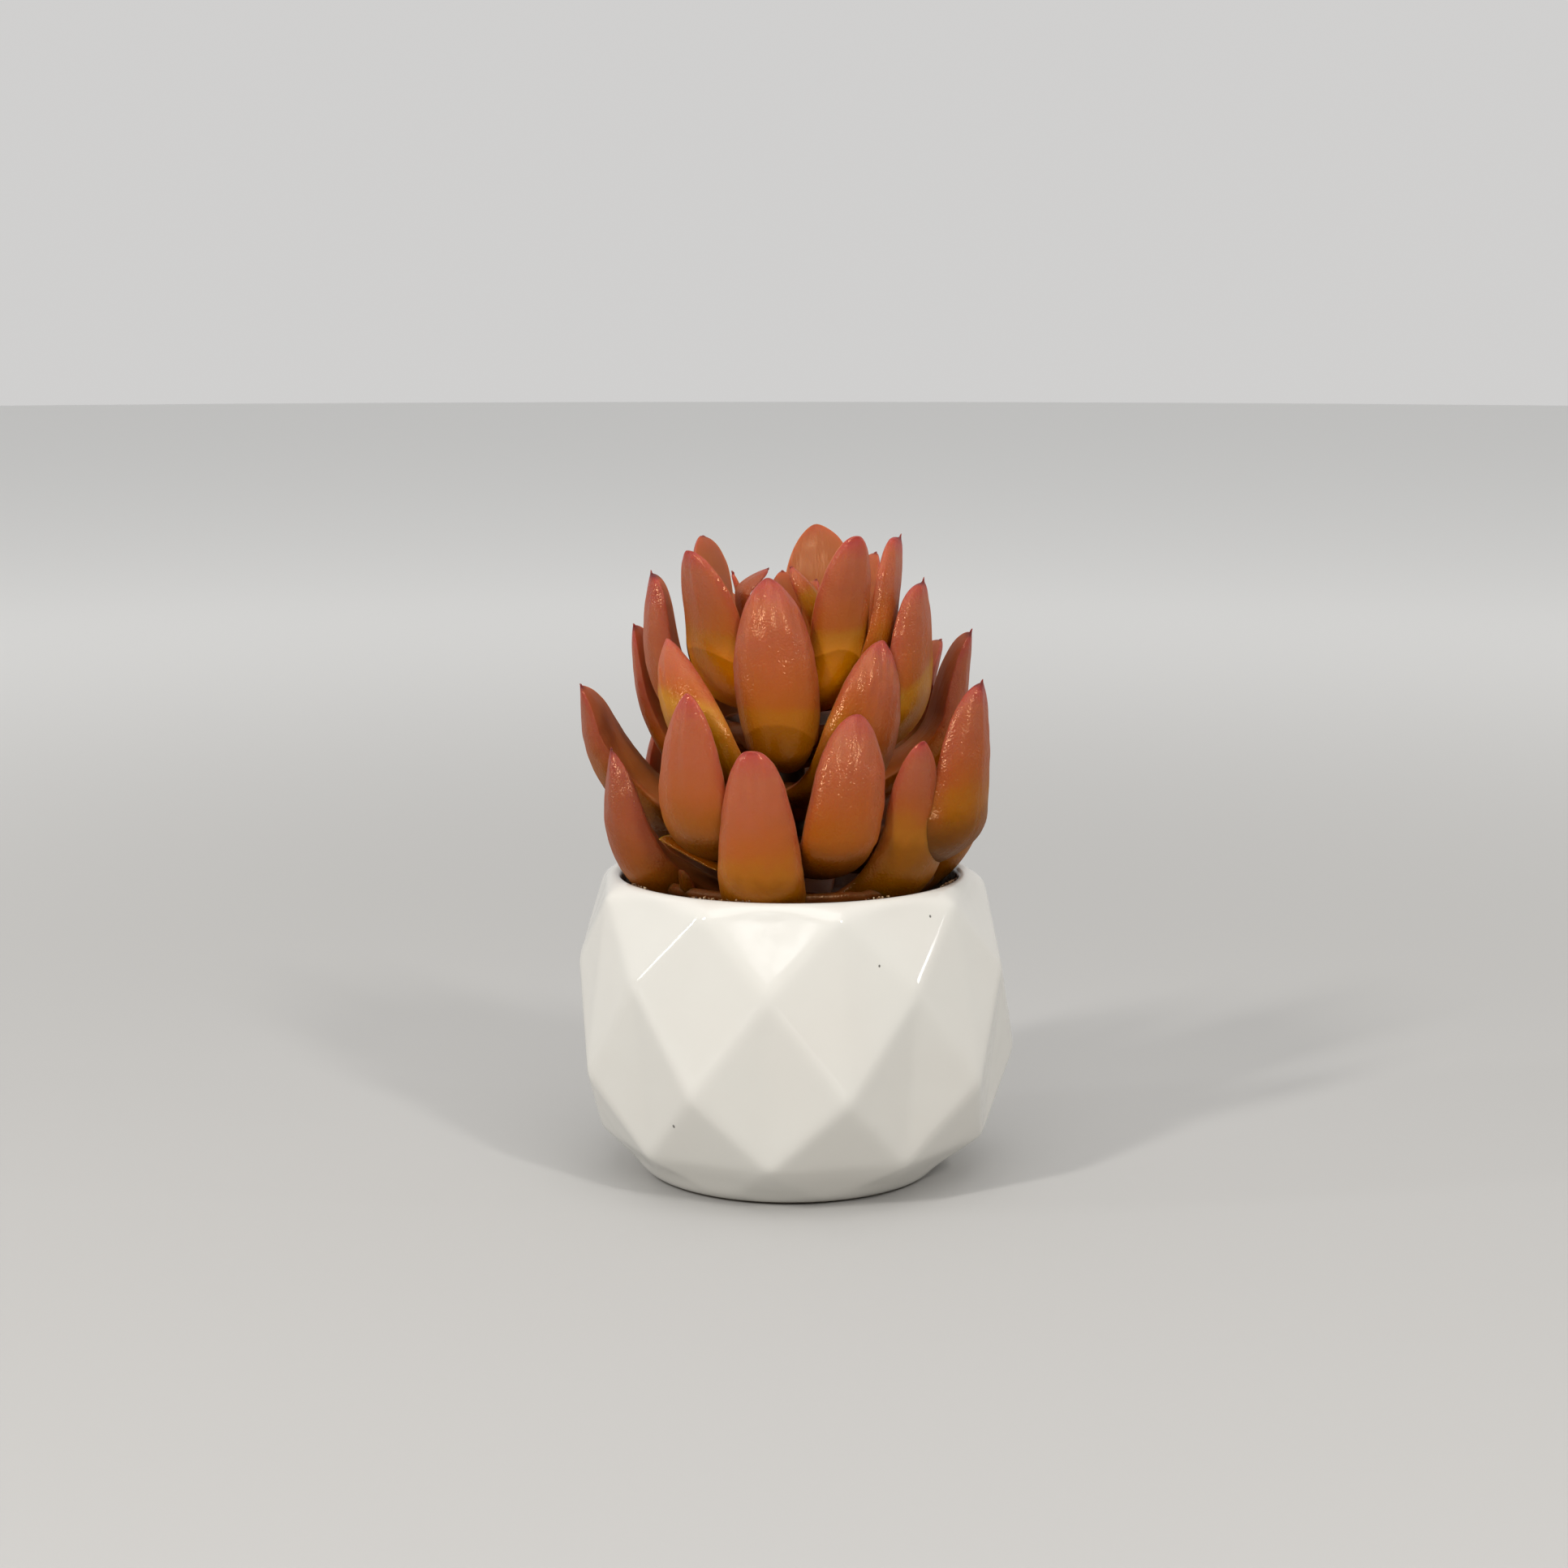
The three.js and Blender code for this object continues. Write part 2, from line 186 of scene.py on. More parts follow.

# %% [markdown]
# ## Floor and light
# A pale floor and soft light, as in a small product studio. The floor is painted darker near the
# pot and paler far away: painted shade round the pot, which the pot's lower facets see, and a
# paler floor in the distance. Two narrow soft boxes stand left and right in front of the plant
# and high up, because the photographed leaves show two upright glints each. A glazed facet
# mirrors one direction only, so its bright marks need lights of their own: a strip far to the
# left and a small lamp far to the right draw the streaks on the upper creases, and a faint card
# in front gives the glare on the triangle in the middle. A large panel overhead gives the soft
# round shadow under the pot. The air is darker behind the camera than behind the plant, which
# gives the pot and the leaves their shade.

# %% Floor
floor_mat, nt, paper, where = new_material("floor_paper_painted_shade")
# painted shade: the floor's colour is darker near the pot and fades to pale away from it
far = add_node(nt, "VectorMath", {0: where}, operation="LENGTH")
shade_near_pot_fades = add_node(nt, "MapRange", {"Value": far, "From Min": 0.15, "From Max": 1.1},
                 interpolation_type="SMOOTHSTEP")
floor_with_painted_shade = add_node(nt, "Mix", {"Factor": shade_near_pot_fades, "A": linear("#B8B7B5"), "B": linear("#F2F2F1")},
                 data_type="RGBA")
feed(nt, paper, {"Base Color": floor_with_painted_shade, "Roughness": 0.85})

FLOOR_R = 4000
FLOOR_SIDES = 96
angles = np.linspace(0, 2 * np.pi, FLOOR_SIDES, endpoint=False)
disc = [[FLOOR_R * math.cos(a), FLOOR_R * math.sin(a), 0] for a in angles]
floor = mesh_object("floor", disc, [tuple(range(FLOOR_SIDES))], floor_mat)
floor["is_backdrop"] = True
print("floor:", FLOOR_R, "mm round the pot")

# %% Lights
LIT_Z = 70 * MM  # height of the point that the lights look at


def soft_box(name, azimuth, elevation, distance, size, power, colour):
    """A flat light that looks at the plant; azimuth runs from the front towards the right."""
    az, el = math.radians(azimuth), math.radians(elevation)
    away = Vector((math.sin(az) * math.cos(el), -math.cos(az) * math.cos(el), math.sin(el)))
    light = bpy.data.lights.new(name, "AREA")
    light.shape = "RECTANGLE"
    light.size, light.size_y = size
    light.energy = power
    light.color = linear(colour)[:3]
    obj = bpy.data.objects.new(name, light)
    obj.location = Vector((0, 0, LIT_Z)) + away * distance
    obj.rotation_euler = away.to_track_quat("Z", "Y").to_euler()
    scene.collection.objects.link(obj)


soft_box("box_left", -42, 36, 1.3, (0.10, 0.24), 6.1, "#FFFCF8")
soft_box("box_right", 34, 36, 1.3, (0.09, 0.24), 4.4, "#FFFCF8")
soft_box("strip_left", -77, 17, 1.3, (0.08, 0.46), 1.6, "#FFFFFF")
soft_box("lamp_right", 77.5, 18, 1.3, (0.05, 0.07), 0.4, "#FFFFFF")
soft_box("card_front", -12.5, 32, 1.3, (0.06, 0.16), 0.10, "#FFFFFF")
soft_box("panel_above", 4, 66, 1.2, (0.9, 0.9), 4.6, "#FFFDFB")

# %% Air
world = bpy.data.worlds.new("studio_air")
world.use_nodes = True
nt = world.node_tree
direction = add_node(nt, "TexCoord", out="Generated")
share_of = {}
for side, low, high in (("Z", 0.02, 0.9), ("Y", -0.35, 0.55)):
    seen = add_node(nt, "SeparateXYZ", {0: direction}, out=side)
    share_of[side] = add_node(nt, "MapRange", {"Value": seen, "From Min": low, "From Max": high},
                              interpolation_type="SMOOTHSTEP")
wall, room = (add_node(nt, "Mix", {"Factor": share_of["Z"], "A": linear(low), "B": linear(high)},
                       data_type="RGBA") for low, high in (("#E6E5E4", "#F4F4F3"), ("#6C6A68", "#DCDBDA")))
air = add_node(nt, "Mix", {"Factor": share_of["Y"], "A": room, "B": wall}, data_type="RGBA")
feed(nt, nt.nodes["Background"], {"Color": air, "Strength": 0.80})
scene.world = world
scene.view_settings.view_transform = "Standard"
print("lights:", len(bpy.data.lights))

# %% [markdown]
# ## The pot's facets
# The pot is slip-cast earthenware: a plaster mould gives it nine columns of flat facets that
# repeat round the axis. Each column has a soft diamond in its middle, kites between the
# diamonds, and triangles towards the rim and the foot. What repeats by a rule is made once: one
# column is a small mesh of twelve triangles, and a Geometry Nodes tree sets it round the axis.
# The ring of corners called brim lies above the lip, so that the facets reach past the wall.
#
# The radius of each corner was measured from the photograph's outline and creases. The pot is a
# little fuller on one side, as hand-finished ware is, so each corner also carries how far it
# moves out towards the right.

# %% One column of facets
COLUMNS = 9
TURN = -5.6  # degrees from the front to the corner that faces it
STEP = 360 / COLUMNS
#            radius, height, growth to the right, columns round
CORNERS = {
    "foot": (25.5, 0.0, 0.0, 0.5),
    "low": (35.8, 8.2, 0.8, 0.0),
    "middle": (41.0, 21.7, 1.0, 0.5),
    "upper": (39.4, 40.2, 0.6, 0.0),
    "neck": (36.0, 53.8, 0.0, 0.5),
    "dish": (37.3, 22.5, 0.7, 0.0),
    "brim": (35.6, 57.0, 0.0, 0.5),
}


def around(azimuth, r, z):
    """The point at an azimuth from the front (-Y) towards the right (+X), in mm."""
    return [r * math.sin(math.radians(azimuth)), -r * math.cos(math.radians(azimuth)), z]


def corner(ring, column):
    r, z, grow, shift = CORNERS[ring]
    return around((column + shift) * STEP, r, z), grow


FACETS = [("upper 0", "neck 0", "neck -1"), ("upper 0", "middle 0", "neck 0"),
          ("middle 0", "upper 1", "neck 0"), ("middle 0", "dish 1", "upper 1"),
          ("dish 1", "middle 1", "upper 1"), ("low 1", "middle 1", "dish 1"),
          ("low 1", "dish 1", "middle 0"), ("low 0", "low 1", "middle 0"),
          ("low 1", "low 0", "foot 0"), ("low 1", "foot 0", "foot 1"),
          ("neck -1", "neck 0", "brim 0"), ("neck -1", "brim 0", "brim -1")]
names = sorted({name for facet in FACETS for name in facet})
placed = [corner(name.split()[0], int(name.split()[1])) for name in names]
column = mesh_object("pot_column", [p for p, _ in placed],
                     [tuple(names.index(n) for n in facet) for facet in FACETS], smooth=False)
growth = column.data.attributes.new("growth", "FLOAT", "POINT")
growth.data.foreach_set("value", [grow * MM for _, grow in placed])
print("one column:", len(column.data.polygons), "facets")

# %% [markdown]
# The mould gives sharp facets, but the glaze is thick: it flows over the creases and rounds
# them. So the visible skin is a finely divided turned blank, with the pot's foot, lip and inner
# wall. On its outer wall the tree casts a ray from the axis at each point, finds how far the
# facets are, blurs that distance over a few neighbours, and moves the point there. The blur is
# the glaze: more rounds give softer creases. Towards the foot and the lip a stored weight lets
# the facets die out into the round.

# %% The turned blank
SEGMENTS = 360
PROFILE = [(0, 0.9), (20.5, 0.9), (21.6, 0.5), (22.3, 0.0), (24.9, 0.0), (26.2, 0.35), (27.4, 1.2),
           (29.2, 3.0), (32.4, 6.0), (35.2, 10.0), (38.5, 17.0), (39.6, 22.0), (39.6, 30.0),
           (38.6, 40.0), (36.9, 46.0), (35.0, 51.5), (33.8, 53.8), (33.55, 54.9), (33.2, 55.5),
           (32.8, 55.95), (32.1, 56.05), (31.5, 56.0), (30.9, 55.6), (30.6, 54.8), (30.5, 53.5),
           (30.5, 52), (33.0, 42), (35.2, 30), (35.6, 22), (30.0, 9.5), (22.5, 5.0), (0, 5.0)]


def densify(points, spacing, passes):
    """The polyline with even spacing and rounded corners; its two ends stay."""
    points = np.array(points, float)
    run = np.r_[0, np.cumsum(np.hypot(*np.diff(points, axis=0).T))]
    at = np.linspace(0, run[-1], int(run[-1] / spacing) + 1)
    fine = np.stack([np.interp(at, run, points[:, k]) for k in (0, 1)], 1)
    for _ in range(passes):
        fine[1:-1] = 0.25 * fine[:-2] + 0.5 * fine[1:-1] + 0.25 * fine[2:]
    return fine


profile = densify(PROFILE, 0.62, 3)
profile[:, 1] = np.maximum(profile[:, 1], 0.0)
outside = profile[1:-1]
turn_angles = np.arange(SEGMENTS) * 360 / SEGMENTS
blank_points = [around(a, r, z) for r, z in outside for a in turn_angles]
blank_points += [[0, 0, profile[0, 1]], [0, 0, profile[-1, 1]]]
pot = mesh_object("pot_glazed", blank_points, closed_faces(len(outside), SEGMENTS))

lip_at = int(np.argmax(outside[:, 1]))
on_wall = (np.arange(len(outside)) <= lip_at) & (outside[:, 0] > 24.5)
hold = smoothstep(outside[:, 1], 0.8, 5.0) * (1 - smoothstep(outside[:, 1], 53.6, 56.0)) * on_wall
weight = pot.data.attributes.new("faceted", "FLOAT", "POINT")
weight.data.foreach_set("value", np.r_[np.repeat(hold, SEGMENTS), 0, 0])
print("blank:", len(outside), "rings of", SEGMENTS)

# %% The tree that presses the facets into the blank
def new_tree(name, inputs):
    """A Geometry Nodes tree, the identifiers of its named inputs, and their sockets inside."""
    tree = bpy.data.node_groups.new(name, "GeometryNodeTree")
    tree.is_modifier = True
    tree.interface.new_socket("Geometry", in_out="INPUT", socket_type="NodeSocketGeometry")
    sockets = {}
    for label, kind in inputs.items():
        socket = tree.interface.new_socket(label, in_out="INPUT", socket_type="NodeSocket" + kind)
        sockets[label] = socket.identifier
    tree.interface.new_socket("Geometry", in_out="OUTPUT", socket_type="NodeSocketGeometry")
    return tree, sockets, tree.nodes.new("NodeGroupInput").outputs


press, pot_inputs, g = new_tree("press_facets", {
    "Column": "Object", "Columns": "Int", "Turn": "Float", "Glaze rounds": "Int",
    "Glaze waves": "Float", "Glaze": "Material"})

# the ring of columns, each corner moved out by its growth towards the right
facets = add_node(press, "GeometryNodeObjectInfo", {"Object": g["Column"]}, out="Geometry")
spots = add_node(press, "GeometryNodePoints", {"Count": g["Columns"]})
index = add_node(press, "GeometryNodeInputIndex")
share = add_node(press, "Math", {0: index, 1: g["Columns"]}, operation="DIVIDE")
angle = add_node(press, "Math", {0: share, 1: 2 * math.pi, 2: g["Turn"]}, operation="MULTIPLY_ADD")
spin = add_node(press, "CombineXYZ", {"Z": angle})
ring = add_node(press, "GeometryNodeInstanceOnPoints",
                {"Points": spots, "Instance": facets, "Rotation": spin})
real = add_node(press, "GeometryNodeRealizeInstances", {0: ring})
cage = add_node(press, "GeometryNodeMergeByDistance", {"Geometry": real, "Distance": 0.01 * MM})
place = add_node(press, "GeometryNodeInputPosition")
flat = add_node(press, "VectorMath", {0: place, 1: (1, 1, 0)}, operation="MULTIPLY")
outward = add_node(press, "VectorMath", {0: flat}, operation="NORMALIZE")
sideways = add_node(press, "SeparateXYZ", {0: outward}, out="X")
grows = add_node(press, "GeometryNodeInputNamedAttribute", {"Name": "growth"}, data_type="FLOAT")
swelling = add_node(press, "Math", {0: sideways, 1: grows}, operation="MULTIPLY")
push = add_node(press, "VectorMath", {0: outward, "Scale": swelling}, operation="SCALE")
grown = add_node(press, "GeometryNodeSetPosition", {"Geometry": cage, "Offset": push})

# the distance from the axis to the facets, blurred, and with faint waves
axis = add_node(press, "VectorMath", {0: place, 1: (0, 0, 1)}, operation="MULTIPLY")
cast = add_node(press, "GeometryNodeRaycast",
                {"Target Geometry": grown, "Source Position": axis, "Ray Direction": outward,
                 "Ray Length": 0.1}, out="Hit Distance")
blank_r = add_node(press, "VectorMath", {0: flat}, operation="LENGTH")
holds = add_node(press, "GeometryNodeInputNamedAttribute", {"Name": "faceted"}, data_type="FLOAT")
pressed = add_node(press, "Mix", {"Factor": holds, "A": blank_r, "B": cast}, data_type="FLOAT")
glazed = add_node(press, "GeometryNodeBlurAttribute", {"Value": pressed, "Iterations": g["Glaze rounds"]},
                  data_type="FLOAT")
waves = add_node(press, "TexNoise", {"Vector": place, "Scale": 130.0, "Detail": 1.0})
wave = add_node(press, "Math", {0: waves, 1: -0.5}, operation="ADD")
deep = add_node(press, "Math", {0: wave, 1: g["Glaze waves"]}, operation="MULTIPLY")
reach = add_node(press, "Math", {0: deep, 1: holds, 2: glazed}, operation="MULTIPLY_ADD")

# each point of the blank moves to that distance
spread = add_node(press, "VectorMath", {0: outward, "Scale": reach}, operation="SCALE")
landing = add_node(press, "VectorMath", {0: spread, 1: axis}, operation="ADD")
moved = add_node(press, "GeometryNodeSetPosition", {"Geometry": g["Geometry"], "Position": landing})
whole = add_node(press, "GeometryNodeRealizeInstances", {0: moved})
coated = add_node(press, "GeometryNodeSetMaterial", {"Geometry": whole, "Material": g["Glaze"]})
add_node(press, "NodeGroupOutput", {0: coated})
print("press_facets:", len(press.nodes), "nodes")


# %% From a tree to a plain mesh
def grow_mesh(obj, tree, sockets, values):
    """Runs a tree on an object and keeps the result as the object's own plain mesh."""
    modifier = obj.modifiers.new(tree.name, "NODES")
    modifier.node_group = tree
    for label, value in values.items():
        modifier[sockets[label]] = value
    bpy.context.view_layer.update()
    evaluated = obj.evaluated_get(bpy.context.evaluated_depsgraph_get())
    mesh = bpy.data.meshes.new_from_object(evaluated)
    obj.modifiers.remove(modifier)
    obj.data = mesh


# %% [markdown]
# ## Glaze
# The pot is white-glazed earthenware: an opaque tin-white glass layer over a warm clay body. It
# gives the eye a bright, slightly creamy white with small sharp reflections. Poured glaze is
# never quite even, so the reflections break up in patches a few millimetres wide, and three
# iron specks show through. Under the foot it was wiped off, so the buff clay is bare there.
# Along the inner edge of the lip the colour is darker brown in patches.

# %% Glaze material
glaze_mat, nt, glass, where = new_material("white_tin_glaze")
cloud = add_node(nt, "TexNoise", {"Vector": where, "Scale": 45.0, "Detail": 2.0})
colour = add_node(nt, "Mix", {"Factor": cloud, "A": linear("#E3E2DB"), "B": linear("#E0DCD4")},
                  data_type="RGBA")

# specks: azimuth, radius, height and size in mm
SPECKS = [(44.8, 35.4, 52.6, 0.28), (24.5, 37.2, 44.8, 0.24), (-32.8, 37.6, 15.9, 0.32)]
toward = add_node(nt, "VectorMath", {0: where}, operation="NORMALIZE")
speckled = 0.0
for azimuth, r, z, size in SPECKS:
    spot = Vector(around(azimuth, r, z))
    gap = add_node(nt, "VectorMath", {0: toward, 1: spot.normalized()}, operation="DISTANCE")
    speckled = add_node(nt, "MapRange", {"Value": gap, "From Min": 0.5 * size / spot.length, "To Min": 0.85,
                                         "From Max": size / spot.length, "To Max": speckled})

# the bare foot, and a darker brown band in patches along the inner edge of the lip
height = add_node(nt, "SeparateXYZ", {0: where}, out="Z")
level_ground = add_node(nt, "VectorMath", {0: where, 1: (1, 1, 0)}, operation="MULTIPLY")
from_axis = add_node(nt, "VectorMath", {0: level_ground}, operation="LENGTH")
fades = {}
for name, value, low, high in (("bare_foot", height, 0.25, 0.7), ("inner_edge", from_axis, 30.9, 31.7),
                               ("below_lip", height, 54.6, 55.7)):
    fades[name] = add_node(nt, "MapRange", {"Value": value, "From Min": low * MM, "From Max": high * MM,
                                            "To Min": 1.0, "To Max": 0.0})
up_there = add_node(nt, "MapRange", {"Value": height, "From Min": 49 * MM, "From Max": 51 * MM,
                                     "To Max": fades["below_lip"]})
# a darker brown band, in patches, on the inner wall just under the lip
under_lip_band = add_node(nt, "Math", {0: fades["inner_edge"], 1: up_there}, operation="MULTIPLY")
smeared = add_node(nt, "TexNoise", {"Vector": where, "Scale": 330.0, "Detail": 2.0})
patchy = add_node(nt, "MapRange", {"Value": smeared, "From Min": 0.35, "From Max": 0.6,
                                   "To Min": 0.35, "To Max": 0.95})
under_lip_darkening = add_node(nt, "Math", {0: under_lip_band, 1: patchy}, operation="MULTIPLY")
for amount, shade in ((fades["bare_foot"], "#B9AC98"), (speckled, "#3A332C"), (under_lip_darkening, "#5A4030")):
    colour = add_node(nt, "Mix", {"Factor": amount, "A": colour, "B": linear(shade)}, data_type="RGBA")

patch = add_node(nt, "TexNoise", {"Vector": where, "Scale": 260.0, "Detail": 3.0, "Roughness": 0.6})
dull = add_node(nt, "MapRange", {"Value": patch, "From Min": 0.35, "From Max": 0.75,
                                 "To Min": 0.06, "To Max": 0.17})
rough = add_node(nt, "Math", {0: fades["bare_foot"], 1: 0.6, 2: dull}, operation="MULTIPLY_ADD")
peel = add_node(nt, "TexNoise", {"Vector": where, "Scale": 420.0, "Detail": 2.0})
dimple = add_node(nt, "Bump", {"Strength": 0.25, "Distance": 0.02 * MM, "Height": peel})
feed(nt, glass, {"IOR": 1.52, "Base Color": colour, "Roughness": rough, "Normal": dimple})

# %% Glazed pot
grow_mesh(pot, press, pot_inputs, {"Column": column, "Columns": COLUMNS, "Turn": math.radians(TURN),
                                   "Glaze rounds": 4, "Glaze waves": 0.10 * MM, "Glaze": glaze_mat})
bpy.data.objects.remove(column)
pot.data.polygons.foreach_set("use_smooth", [True] * len(pot.data.polygons))
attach(pot, "root")
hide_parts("pot")
print("pot:", len(pot.data.polygons), "faces")

# %% [markdown]
# ## Leaves
# Each leaf is a plump finger with a D-shaped section: round outside, nearly flat inside, with a
# crisp edge between the two on its free part. It leaves the stem nearly level, turns up at its
# belly, and ends in a point that lies on the outer side. The CAD model sweeps a coarse section
# along a line with two bends. Here the same line and the same rule are used with many more
# stations, so that each fine leaf follows its CAD leaf, and small uneven swellings and
# lengthwise wrinkles are added, as soft moulded leaves have.
#
# A leaf has two rows of numbers. The first is its form: azimuth, the radius and height of its
# belly and of its tip, how far the two stand to the side, its width and thickness, the bluntness
# of the tip, where it is widest, the width of its neck, and how far its root is lifted. These
# were fitted to the outlines of the photographed leaves; the ones behind, which the photograph
# doesn't show, fill the whorl evenly. The second is its finish, which the skin's material reads.

